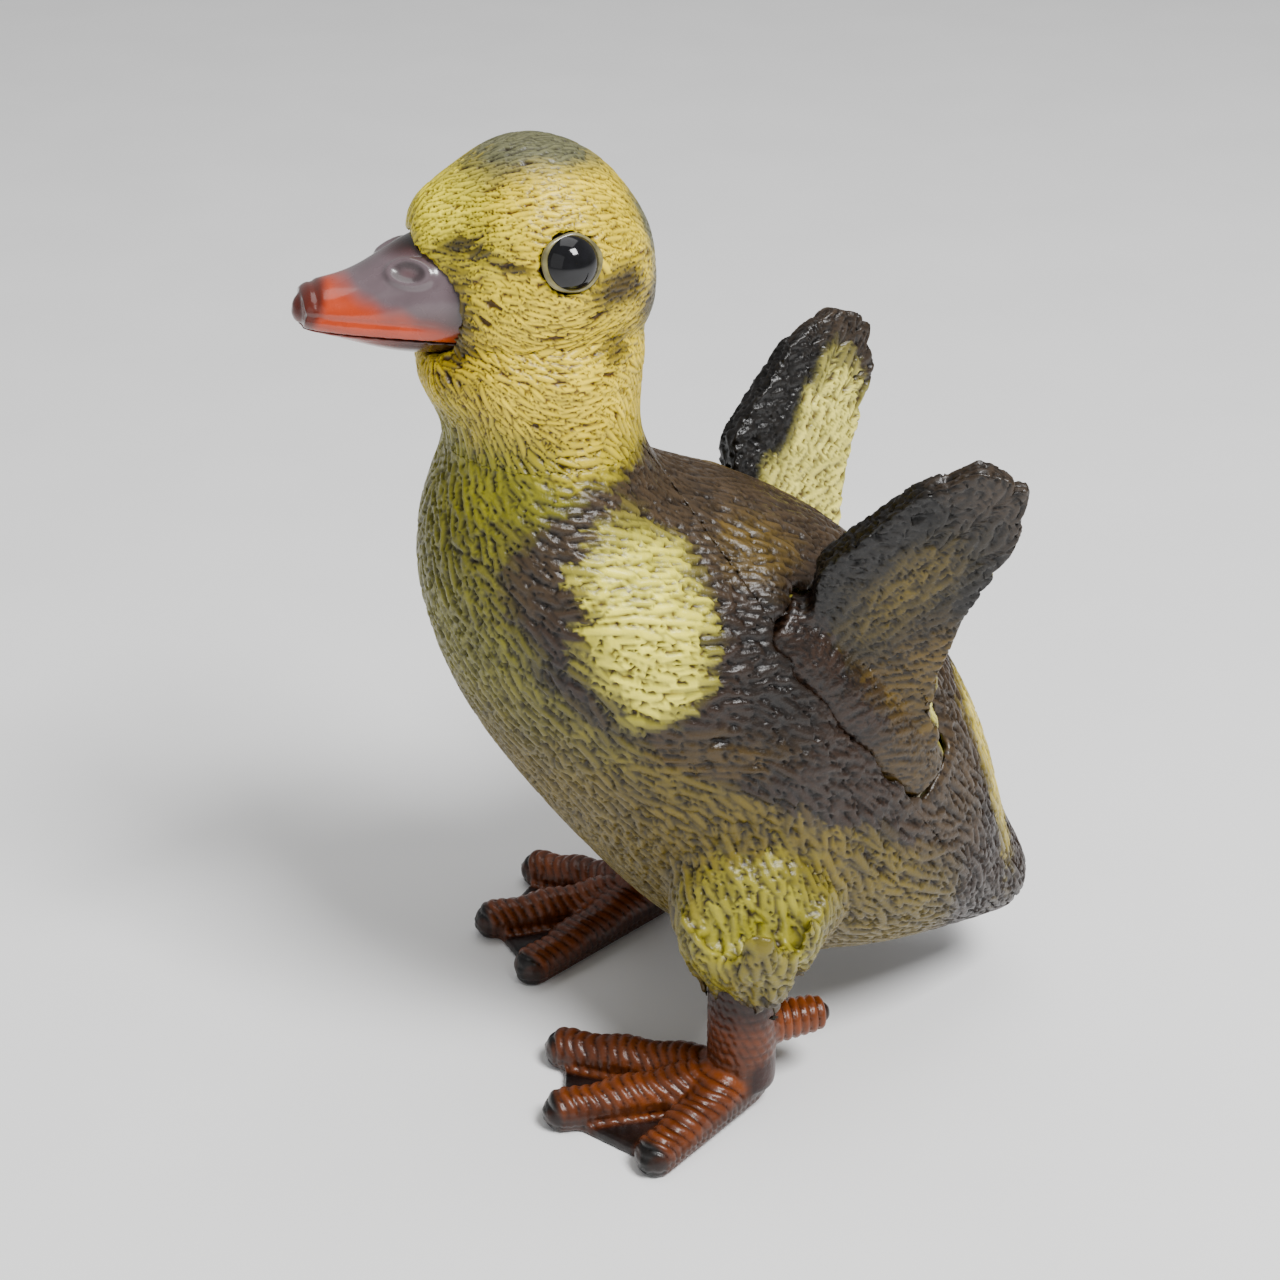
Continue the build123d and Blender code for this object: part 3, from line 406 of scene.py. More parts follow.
def carve(points, normals, strokes, paintOf, live, fade, reach=12):
    index = np.flatnonzero(live)
    near = np.array([[hit[1] for hit in strokes["tree"].find_n(p, reach)] for p in points[index]])
    away = points[index][:, None] - strokes["at"][near]
    wide, long = strokes["wide"][near], strokes["long"][near]
    along = (away * strokes["flow"][near]).sum(2) / long
    across = ((away * strokes["cross"][near]).sum(2) - strokes["bend"][near] * along ** 2 * wide) / wide
    taper = np.sqrt(np.clip(1.02 - along ** 2, 0.02, 1)) * (1.0 - 0.18 * along)
    across = across / taper
    covers = (np.abs(along) < 1) & (np.abs(across) < 1)
    rank = np.where(covers, strokes["level"][near] + 0.55 * along, -9)
    rows = np.arange(len(near))
    pick = rank.argmax(1)
    top = near[rows, pick]
    edge = np.abs(across[rows, pick])
    ridge = np.where(covers[rows, pick], (1 - edge ** 2.6) * (1 - np.clip(along[rows, pick], -1, 1) ** 6), 0)
    lift = 0.25 * along[rows, pick] + 0.3 * strokes["level"][top]
    height = np.where(covers[rows, pick], 0.25 + 0.55 * ridge + lift * np.minimum(ridge * 3, 1), 0)
    relief = np.full(len(points), 0.5)
    relief[index] = ridge
    colour = paintOf(points)
    touch = paintOf(strokes["at"] + strokes["flow"] * 1.4) * strokes["tone"]
    colour[index] = colour[index] * 0.2 + touch[top] * 0.8
    drop = np.zeros(len(points))
    drop[index] = (np.clip(height, 0, 1.1) - 1.1) * strokes["depth"][top]
    return points + normals * (drop * fade)[:, None], relief, colour


def plumageLook(points):
    # short fine strokes on the head, long broad ones on the trunk and thighs
    t = softStep(points[:, 2], 116, 142)
    thigh = blob(points, (0, 0, 40), (70, 34, 14), 0.4)

    def between(trunk, head):
        return trunk + (head - trunk) * t
    return {
        "spacing": np.round(between(1.9, 1.3), 1),
        "length": between(9.6, 5.4) + 2.0 * thigh,
        "width": between(2.1, 1.15) + 0.3 * thigh,
        "depth": between(1.35, 0.62),
        "unruly": between(0.2, 0.2),
    }


def paintMaterial(name, look):
    material = bpy.data.materials.new(name)
    material.use_nodes = True
    tree = material.node_tree
    tree.nodes.clear()
    link = tree.links.new
    out = tree.nodes.new("ShaderNodeOutputMaterial")
    shader = tree.nodes.new("ShaderNodeBsdfPrincipled")
    paint = tree.nodes.new("ShaderNodeAttribute")
    paint.attribute_name = "paint"
    relief = tree.nodes.new("ShaderNodeAttribute")
    relief.attribute_name = "relief"
    place = tree.nodes.new("ShaderNodeTexCoord")
    cutShade = tree.nodes.new("ShaderNodeMix")  # painted shade: colour darkened in the cuts between strokes, where shade falls
    cutShade.data_type = "RGBA"
    cutShade.blend_type = "MULTIPLY"
    cutShade.inputs["B"].default_value = (*look["cutShade"], 1)
    cutShadeRamp = tree.nodes.new("ShaderNodeMapRange")
    cutShadeRamp.inputs["From Min"].default_value = look["cutShadeTop"]
    cutShadeRamp.inputs["From Max"].default_value = look["cutShadeFloor"]
    ridgeHighlight = tree.nodes.new("ShaderNodeMix")  # painted highlight: colour lightened on the ridges of the strokes, where light catches them
    ridgeHighlight.data_type = "RGBA"
    ridgeHighlight.blend_type = "MULTIPLY"
    ridgeHighlight.inputs["B"].default_value = (*look["ridgeHighlight"], 1)
    ridgeHighlightRamp = tree.nodes.new("ShaderNodeMapRange")
    ridgeHighlightRamp.inputs["From Min"].default_value = look["ridgeHighlightFrom"]
    ridgeHighlightRamp.inputs["From Max"].default_value = 1.0
    ridgeHighlightRamp.inputs["To Max"].default_value = look["ridgeHighlightAmount"]
    mottle = tree.nodes.new("ShaderNodeTexNoise")
    mottle.inputs["Scale"].default_value = look["mottleScale"]
    mottle.inputs["Detail"].default_value = 4.0
    mottleRange = tree.nodes.new("ShaderNodeMapRange")
    mottleRange.inputs["From Min"].default_value = 0.3
    mottleRange.inputs["From Max"].default_value = 0.7
    mottleRange.inputs["To Min"].default_value = 1 - look["mottle"]
    mottleRange.inputs["To Max"].default_value = 1 + look["mottle"]
    tone = tree.nodes.new("ShaderNodeVectorMath")
    tone.operation = "SCALE"
    rough = tree.nodes.new("ShaderNodeMapRange")
    rough.inputs["To Min"].default_value = look["rough"][0]
    rough.inputs["To Max"].default_value = look["rough"][1]
    grain = tree.nodes.new("ShaderNodeTexNoise")
    grain.inputs["Scale"].default_value = look["grainScale"]
    grain.inputs["Detail"].default_value = 5.0
    bump = tree.nodes.new("ShaderNodeBump")
    bump.inputs["Strength"].default_value = look["bump"]
    bump.inputs["Distance"].default_value = 0.0004
    link(place.outputs["Object"], mottle.inputs["Vector"])
    link(place.outputs["Object"], grain.inputs["Vector"])
    link(paint.outputs["Color"], cutShade.inputs["A"])
    link(relief.outputs["Fac"], cutShadeRamp.inputs["Value"])
    link(cutShadeRamp.outputs["Result"], cutShade.inputs["Factor"])
    link(cutShade.outputs["Result"], ridgeHighlight.inputs["A"])
    link(relief.outputs["Fac"], ridgeHighlightRamp.inputs["Value"])
    link(ridgeHighlightRamp.outputs["Result"], ridgeHighlight.inputs["Factor"])
    link(mottle.outputs["Fac"], mottleRange.inputs["Value"])
    link(ridgeHighlight.outputs["Result"], tone.inputs[0])
    link(mottleRange.outputs["Result"], tone.inputs["Scale"])
    link(tone.outputs["Vector"], shader.inputs["Base Color"])
    link(mottle.outputs["Fac"], rough.inputs["Value"])
    link(rough.outputs["Result"], shader.inputs["Roughness"])
    link(grain.outputs["Fac"], bump.inputs["Height"])
    link(bump.outputs["Normal"], shader.inputs["Normal"])
    shader.inputs["Specular IOR Level"].default_value = look["shine"]
    shader.inputs["Coat Weight"].default_value = look["coat"]
    shader.inputs["Coat Roughness"].default_value = look["coatRough"]
    link(shader.outputs["BSDF"], out.inputs["Surface"])
    return material


# each look sets the painted shade in the cuts and the painted highlight on the ridges
plumageVarnish = paintMaterial("plumageVarnish", {
    "cutShade": (0.16, 0.10, 0.045), "cutShadeTop": 0.75, "cutShadeFloor": 0.1,
    "ridgeHighlight": (1.45, 1.42, 1.3), "ridgeHighlightFrom": 0.7, "ridgeHighlightAmount": 1.0,
    "mottleScale": 130, "mottle": 0.16, "rough": (0.28, 0.46), "grainScale": 1100, "bump": 0.5,
    "shine": 0.4, "coat": 0.08, "coatRough": 0.18,
})
wingVarnish = paintMaterial("wingVarnish", {
    "cutShade": (0.16, 0.10, 0.06), "cutShadeTop": 0.75, "cutShadeFloor": 0.1,
    "ridgeHighlight": (1.55, 1.5, 1.4), "ridgeHighlightFrom": 0.65, "ridgeHighlightAmount": 1.0,
    "mottleScale": 140, "mottle": 0.18, "rough": (0.26, 0.42), "grainScale": 1100, "bump": 0.5,
    "shine": 0.4, "coat": 0.08, "coatRough": 0.18,
})
billVarnish = paintMaterial("billVarnish", {
    "cutShade": (0.3, 0.14, 0.12), "cutShadeTop": 0.5, "cutShadeFloor": 0.1,
    "ridgeHighlight": (1.1, 1.1, 1.1), "ridgeHighlightFrom": 0.9, "ridgeHighlightAmount": 1.0,
    "mottleScale": 220, "mottle": 0.12, "rough": (0.2, 0.34), "grainScale": 500, "bump": 0.12,
    "shine": 0.5, "coat": 0.6, "coatRough": 0.1,
})
footVarnish = paintMaterial("footVarnish", {
    "cutShade": (0.2, 0.1, 0.06), "cutShadeTop": 0.7, "cutShadeFloor": 0.2,
    "ridgeHighlight": (1.35, 1.3, 1.2), "ridgeHighlightFrom": 0.7, "ridgeHighlightAmount": 1.0,
    "mottleScale": 240, "mottle": 0.22, "rough": (0.28, 0.44), "grainScale": 900, "bump": 0.4,
    "shine": 0.35, "coat": 0.12, "coatRough": 0.2,
})


def finishPiece(obj, body, material, replaced=()):
    obj.data.materials.clear()
    obj.data.materials.append(material)
    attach(obj, body)
    if replaced:
        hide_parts(*replaced)
    return obj


def socketFade(points):
    # strokes die out near the wing roots so that the sockets stay clean
    fade = np.ones(len(points))
    for side in (1, -1):
        across, back, up = toDrive(points, side)
        middle, halfLength = bird["barrelMiddle"]
        near = np.hypot(across, back) + np.maximum(np.abs(up - middle) - halfLength, 0)
        fade = np.minimum(fade, softStep(near, 9.8, 11.4) * 0.6 + 0.4)
    return fade


seams = {
    "spill": 0.9,  # a shell is carved this much too large, then trimmed
    "neck": 127.0,
    "foot": (63.0, 16.0),
    "top": (-8.0, 121.0),
    "trunkVoxel": 1.26,
    "headVoxel": 0.68,
}
seamPoint = Vector((0, *seams["foot"]))
seamLine = (Vector((0, *seams["top"])) - seamPoint).normalized()
toBack = Vector((0, seamLine.z, -seamLine.y))
shells = ["front_shell", "back_shell", "head_shell"]


# locks of feathers that hang over the shanks
clumps = {
    "centre": (34.0, 2.5),
    "rings": ((9.6, 31.0, 10), (12.0, 35.0, 12), (13.8, 40.0, 12)),  # radius, height, how many
    "long": 14.5,
    "wide": 2.7,
    "thick": 1.9,
    "plug": (10.5, 11.0, 8.0),
    "plugHeight": 37.0,
}


def hangClumps(bm):
    # pointed locks of feathers that hang from the thighs over the shanks
    for side in (1, -1):
        rng = np.random.default_rng(71)
        made = bmesh.ops.create_uvsphere(bm, u_segments=24, v_segments=16, radius=mm)["verts"]
        bmesh.ops.scale(bm, vec=clumps["plug"], verts=made)
        place = Vector((side * clumps["centre"][0], clumps["centre"][1], clumps["plugHeight"])) * mm
        bmesh.ops.translate(bm, vec=place, verts=made)
        for radius, height, count in clumps["rings"]:
            for k in range(count):
                angle = 2 * math.pi * (k + rng.uniform(-0.35, 0.35)) / count
                made = bmesh.ops.create_uvsphere(bm, u_segments=12, v_segments=10, radius=mm)["verts"]
                long = clumps["long"] * rng.uniform(0.8, 1.25) / 2
                wide = clumps["wide"] * rng.uniform(0.85, 1.3)
                bmesh.ops.scale(bm, vec=(clumps["thick"], wide, long), verts=made)
                for vert in made:
                    t = 0.5 - vert.co.z / (2 * long * mm)
                    vert.co.x = vert.co.x * (1 - 0.55 * t) - 2.0 * t * t * mm
                    vert.co.y *= 1.1 - 0.75 * t
                lie = Matrix.Rotation(rng.normal() * 0.22, 4, "X")
                if side < 0:
                    lie = Matrix.Scale(-1, 4, (1, 0, 0)) @ Matrix.Rotation(angle, 4, "Z") @ lie
                else:
                    lie = Matrix.Rotation(angle, 4, "Z") @ lie
                out = Vector((side * math.cos(angle), math.sin(angle), 0))
                middleX, middleY = clumps["centre"]
                start = Vector((side * middleX, middleY, height + rng.uniform(-1.5, 1.5)))
                place = Matrix.Translation((start + out * radius) * mm)
                bmesh.ops.transform(bm, matrix=place @ lie, verts=made)
                if side < 0:
                    bmesh.ops.reverse_faces(bm, faces=list({f for v in made for f in v.link_faces}))


def softBird(name, voxel):
    # the three shells as one even surface, with its soft forms pushed out
    obj = evenCopy(name, shells, voxel, hangClumps)
    smoothMesh(obj, 2)
    points, normals = readPoints(obj)
    writePoints(obj, keepClear(pushForms(points, normals, forms, socketFade(points))))
    return obj


def seamPlanes(grow):
    # the planes that bound each shell, moved outwards by grow
    step = toBack * grow
    neckDown = ((0, 0, seams["neck"] + grow), (0, 0, -1))
    return {
        "front": [neckDown, (tuple(seamPoint + step), tuple(-toBack))],
        "back": [neckDown, (tuple(seamPoint - step), tuple(toBack))],
        "head": [((0, 0, seams["neck"] - grow), (0, 0, 1))],
    }


def wallRoom(obj, points, normals, keep=0.7):
    # how deep a cut may go before the wall gets thinner than keep
    tree = surfaceTree(obj)
    room = np.full(len(points), 9.0)
    for k, (p, n) in enumerate(zip(points, normals)):
        hit = tree.ray_cast(Vector(p - n * 0.6), Vector(-n), 4.0)
        if hit[0] is not None:
            room[k] = max(hit[3] + 0.6 - keep, 0)
    return room


def carveSkin(whole, part, strokes):
    rough = keepSide(whole, "rough", seamPlanes(seams["spill"])[part])
    wholeTree = surfaceTree(whole)
    subdivideWhere(rough, openSky(rough, wholeTree))
    outside = openSky(rough, wholeTree)
    points, normals = readPoints(rough)
    inner = outside.copy()
    for point, normal in seamPlanes(seams["spill"] - 0.5)[part]:
        inner &= (points - np.array(point)) @ np.array(normal) > 0
    smoothMesh(rough, 2, 0.5, inner)
    points, normals = readPoints(rough)
    fade = socketFade(points) * np.clip(wallRoom(rough, points, normals) / 1.4, 0, 1)
    points, relief, colour = carve(points, normals, strokes, plumagePaint, outside, fade)
    colour[~outside] = paints["thighCream"]
    writePoints(rough, keepClear(points))
    paintOn(rough, colour, relief)
    skin = keepSide(rough, f"{part}Skin", seamPlanes(0)[part])
    bpy.data.objects.remove(rough)
    print(part, "skin carved,", len(skin.data.polygons), "faces")
    return finishPiece(skin, root, plumageVarnish, [f"{part}_shell"])


trunk = softBird("trunkForm", seams["trunkVoxel"])
points, normals = readPoints(trunk)
free = openSky(trunk, surfaceTree(trunk))
strokes = plantStrokes(points[free], normals[free], plumageFlow, plumageLook, 11)
print(len(strokes["at"]), "strokes planted")
carveSkin(trunk, "front", strokes)
carveSkin(trunk, "back", strokes)
bpy.data.objects.remove(trunk)
head = softBird("headForm", seams["headVoxel"])
carveSkin(head, "head", strokes)
bpy.data.objects.remove(head)

hatch = evenCopy("hatchSkin", ["battery_door"], 0.6)
points, normals = readPoints(hatch)
live = np.ones(len(points), bool)
points, relief, colour = carve(points, normals, strokes, plumagePaint, live, np.full(len(points), 0.35))
writePoints(hatch, points)
paintOn(hatch, colour, relief)
finishPiece(hatch, "door_body", plumageVarnish, ["battery_door"])
print("hatch carved")


def wingFrame(side):
    splay = math.radians(bird["wingSplay"])
    outward = np.array([side * math.sin(splay), *(backDir[1:] * math.cos(splay))])
    origin = np.array([side * bird["wingAxis"][0], *bird["wingAxis"][1:]])
    face = np.cross(outward, shaftDir) * side  # from the inner face to the outer
    return origin, outward, face


def makeWing(side, name):
    node = f"wing_{name}"
    obj = evenCopy(f"wingSkin_{name}", [node], 0.58)
    origin, outward, face = wingFrame(side)
    if face[0] * side < 0:
        face = -face
    smoothMesh(obj, 6)
    points, normals = readPoints(obj)
    away = points - origin
    reach, up, through = away @ outward, away @ shaftDir, away @ face
    blade = softStep(reach, 9, 13)
    # the blade thins to its trailing edge and tip, and its face is dished
    tip = softStep(reach, 22, 52)
    trailing = softStep(-(up - (0.72 * reach - 14)), -6, 12)
    points = points - face * (through * blade * (0.3 * tip + 0.28 * trailing))[:, None]
    # scalloped feather ends along the trailing edge and round the tip
    around = np.arctan2(up - 12, reach - 16)
    ends = np.abs(np.sin(around * 15 + 0.9 * wave(points, 15, 21)))
    edge = softStep(np.hypot(reach - 20, up - 10), 13, 22) * blade * softStep(-up + 0.3 * reach, -28, -8)
    points = points - outward * ((1 - ends ** 0.6) * 2.4 * edge)[:, None]
    writePoints(obj, points)

    def flowOf(at, facing):
        local = at - origin
        r, u = local @ outward, local @ shaftDir
        fan = outward * 1.0 + shaftDir * np.clip((u - 8) / 22, -1.2, 0.6)[:, None]
        lead = softStep(u - 0.2 * r, 12, 19)[:, None]
        fan = fan * (1 - lead) + (outward * 0.75 - shaftDir * 0.6) * lead
        fan = fan - (fan * facing).sum(1, keepdims=True) * facing
        return unit(fan)

    def paintOf(at):
        local = at - origin
        r, u, t = local @ outward, local @ shaftDir, local @ face
        r = r + wave(at, 8, 31) * 1.5
        u = u + wave(at, 9, 32) * 1.2
        outer = softStep(t, -0.6, 0.6)
        colour = np.tile(paints["blackBrown"], (len(at), 1))
        centre = np.exp(-(((r - 25) / 13) ** 2 + ((u - 10 - 0.12 * r) / 6.0) ** 2) ** 1.5)
        colour = mixIn(colour, "wingOlive", centre * outer)
        fanRoot = softStep(-u, -9, 0) * softStep(-r, -31, -21) * outer
        colour = mixIn(colour, "tan", fanRoot * 0.8)
        rays = np.clip(wave(at, 3.2, 33), 0, 1)
        colour = mixIn(colour, "blackBrown", rays * 0.5 * outer)
        colour = mixIn(colour, "wingTip", softStep(r, 38, 47) * 0.7)
        lead = softStep(u - 0.22 * r, 9, 13.5)
        inner = (1 - outer) * (1 - lead) * (1 - softStep(r, 40, 47))
        colour = mixIn(colour, "wingCream", inner)
        colour = mixIn(colour, "darkBrown", softStep(-r, -12, -7) * (0.55 + 0.45 * softStep(u, -14, -4)))
        return colour

    def lookOf(at):
        one = np.ones(len(at))
        lead = softStep((at - origin) @ shaftDir - 0.2 * ((at - origin) @ outward), 12, 18)
        return {"spacing": 1.6 * one, "length": 8.0 - 3.6 * lead, "width": 1.9 - 0.4 * lead,
                "depth": 1.05 * one, "unruly": 0.16 * one}

    points, normals = readPoints(obj)
    live = np.ones(len(points), bool)
    strokes = plantStrokes(points, normals, flowOf, lookOf, 40 + side)
    fade = 0.45 + 0.55 * softStep((points - origin) @ outward, 6, 12)
    points, relief, colour = carve(points, normals, strokes, paintOf, live, fade, 14)
    writePoints(obj, points)
    paintOn(obj, colour, relief)
    finishPiece(obj, f"wing_{name}_body", wingVarnish, [node])


makeWing(1, "left")
makeWing(-1, "right")
print("wings carved")


bill = {
    "nostril": (6.0, -49.5, 159.6),
    "nostrilSize": (2.4, 3.7, 1.9),
    "mouth": ([36, 70], [146.6, 151.2]),  # distance in front, height
}


def makeBill(name, node, upper):
    obj = evenCopy(name, [node], 0.38)
    smoothMesh(obj, 3)
    points, normals = readPoints(obj)
    x, y, z = np.abs(points[:, 0]), points[:, 1], points[:, 2]
    front = softStep(-y, 44, 50)
    mouth = np.interp(-y, *bill["mouth"])
    if upper:
        toNostril = (np.stack([x, y, z], 1) - np.array(bill["nostril"])) / np.array(bill["nostrilSize"])
        toNostril[:, 2] += 0.25 * toNostril[:, 1]
        oval = np.linalg.norm(toNostril, axis=1)
        rim = np.exp(-((oval - 1.3) / 0.25) ** 2) * 0.75 + np.exp(-((oval - 0.6) / 0.22) ** 2) * 0.35
        pit = (1 - softStep(oval, 0.2, 1.1)) * 1.2
        lipLine = np.exp(-((z - mouth - 2.6) / 0.7) ** 2) * 0.35 * front * softStep(x, 3, 6)
        lip = np.exp(-((z - mouth - 1.1) / 0.9) ** 2) * 0.25 * front
        nail = np.exp(-((y + 66.5) / 0.6) ** 2) * 0.3 * softStep(z, 152.5, 154)
        offMouth = softStep(np.abs(z - mouth), 0.2, 1.4)
        shape = rim - pit - lipLine + lip - nail - 0.4 * front
        points = points + normals * (shape * offMouth)[:, None]
        colour = np.tile(paints["billPurple"], (len(points), 1))
        # painted sheen: a pale grey band along the side of the upper bill stands in for light on it
        sheen = softStep(-y, -57, -46) * softStep(z, 150, 156) * (1 - softStep(z, 161.5, 164.5))
        colour = mixIn(colour, "billPaintedSheen", sheen * 0.85)
        sides = np.interp(-y, [40, 50, 56, 62, 67], [149.2, 151.2, 154.0, 158.5, 163.0])
        colour = mixIn(colour, "billOrange", softStep(sides - z + wave(points, 7, 3) * 0.7, -2.6, 2.0))
        ridge = softStep(z, 161.5, 164.5) * softStep(-x, -6, -2) * softStep(-y, -62, -52)
        colour = mixIn(colour, "billDark", ridge * 0.9)
        colour = mixIn(colour, "billRed", softStep(-y + 0.4 * (z - 154), 65.3, 67.2) * 0.9)
        colour = mixIn(colour, "billRed", (1 - softStep(oval, 0.5, 1.15)) * 0.9)
        colour = mixIn(colour, "billDark", (1 - softStep(np.abs(oval - 1.05), 0.05, 0.22)) * 0.6)
        colour = mixIn(colour, "billDark", softStep(mouth + 0.55 - z, 0, 0.5) * 0.5)
        colour = mixIn(colour, "billDark", softStep(y, -46.5, -43) * 0.6)
    else:
        points = points - normals * (0.15 * softStep(mouth - z, 0.2, 1.4))[:, None]
        colour = np.tile(paints["billRed"], (len(points), 1))
        colour = mixIn(colour, "billOrange", softStep(-y, 50, 64) * 0.55)
        colour = mixIn(colour, "billDark", softStep(y, -52, -44) * 0.6)
        colour = mixIn(colour, "billDark", softStep(z - mouth, -0.6, -0.1) * 0.4)
    relief = np.full(len(points), 0.7)
    writePoints(obj, points)
    paintOn(obj, colour, relief)
    finishPiece(obj, root, billVarnish, [node])


makeBill("upperBillSkin", "upper_bill", True)
makeBill("lowerBillSkin", "lower_bill", False)
print("bill shaped")


def simpleMaterial(name, colour, rough, metal=0.0, coat=0.0, vary=0.12, scale=300.0, bump=0.15):
    material = bpy.data.materials.new(name)
    material.use_nodes = True
    tree = material.node_tree
    shader = tree.nodes["Principled BSDF"]
    place = tree.nodes.new("ShaderNodeTexCoord")
    noise = tree.nodes.new("ShaderNodeTexNoise")
    noise.inputs["Scale"].default_value = scale
    noise.inputs["Detail"].default_value = 3.0
    ramp = tree.nodes.new("ShaderNodeValToRGB")
    ramp.color_ramp.elements[0].color = (*[c * (1 - vary) for c in colour], 1)
    ramp.color_ramp.elements[1].color = (*[min(c * (1 + vary), 1) for c in colour], 1)
    ramp.color_ramp.elements[0].position = 0.35
    ramp.color_ramp.elements[1].position = 0.65
    roughRange = tree.nodes.new("ShaderNodeMapRange")
    roughRange.inputs["To Min"].default_value = rough * 0.85
    roughRange.inputs["To Max"].default_value = min(rough * 1.15, 1)
    bumpNode = tree.nodes.new("ShaderNodeBump")
    bumpNode.inputs["Strength"].default_value = bump
    bumpNode.inputs["Distance"].default_value = 0.0002
    tree.links.new(place.outputs["Object"], noise.inputs["Vector"])
    tree.links.new(noise.outputs["Fac"], ramp.inputs["Fac"])
    tree.links.new(noise.outputs["Fac"], roughRange.inputs["Value"])
    tree.links.new(noise.outputs["Fac"], bumpNode.inputs["Height"])
    tree.links.new(ramp.outputs["Color"], shader.inputs["Base Color"])
    tree.links.new(roughRange.outputs["Result"], shader.inputs["Roughness"])
    tree.links.new(bumpNode.outputs["Normal"], shader.inputs["Normal"])
    shader.inputs["Metallic"].default_value = metal
    shader.inputs["Coat Weight"].default_value = coat
    return material


eyeGlass = simpleMaterial("eyeGlass", (0.003, 0.003, 0.004), 0.09, coat=0.0, vary=0.5, scale=500, bump=0.0)
lidPaint = simpleMaterial("lidPaint", (0.17, 0.15, 0.06), 0.32, coat=0.5, vary=0.45, scale=420, bump=0.3)
eyeLid = {"ring": 4.6, "tube": 0.55, "out": 2.15}
headCentre = Vector(bird["headCentre"])
for side, name in ((1, "left"), (-1, "right")):
    centre = Vector((side * bird["eye"][0], bird["eye"][1], bird["eye"][2]))
    outward = (centre - headCentre).normalized()
    eye = nodes[f"eye_{name}"]
    eye.data.materials.clear()
    eye.data.materials.append(eyeGlass)
    bm = bmesh.new()
    stand = Matrix.Translation((eyeLid["ring"] * mm, 0, 0)) @ Matrix.Rotation(math.pi / 2, 4, "X")
    bmesh.ops.create_circle(bm, cap_ends=False, segments=12, radius=eyeLid["tube"] * mm, matrix=stand)
    bmesh.ops.spin(bm, geom=bm.verts[:] + bm.edges[:], cent=(0, 0, 0), axis=(0, 0, 1),
                   angle=2 * math.pi, steps=64, use_merge=True, use_duplicate=False)
    for vert in bm.verts:
        # the ring pinches to a corner in front and behind, and wanders a little
        angle = math.atan2(vert.co.y, vert.co.x)
        vert.co *= 1 + 0.05 * math.cos(2 * angle) + 0.02 * math.sin(5 * angle + side)
    bmesh.ops.recalc_face_normals(bm, faces=bm.faces)
    turn = outward.to_track_quat("Z", "Y").to_matrix().to_4x4()
    place = Matrix.Translation((centre + outward * eyeLid["out"]) * mm)
    bmesh.ops.transform(bm, matrix=place @ turn, verts=bm.verts)
    lid = bmToObject(f"eyelid_{name}", bm)
    finishPiece(lid, root, lidPaint)
print("eyes set")


feet = {
    "ankle": (33.5, 1.5),
    "toeTips": [(14.5, -28.5), (33.0, -33.0), (50.0, -19.5)],
    "scute": 2.1,  # spacing of the plates across a toe
    "web": 2.4,
}


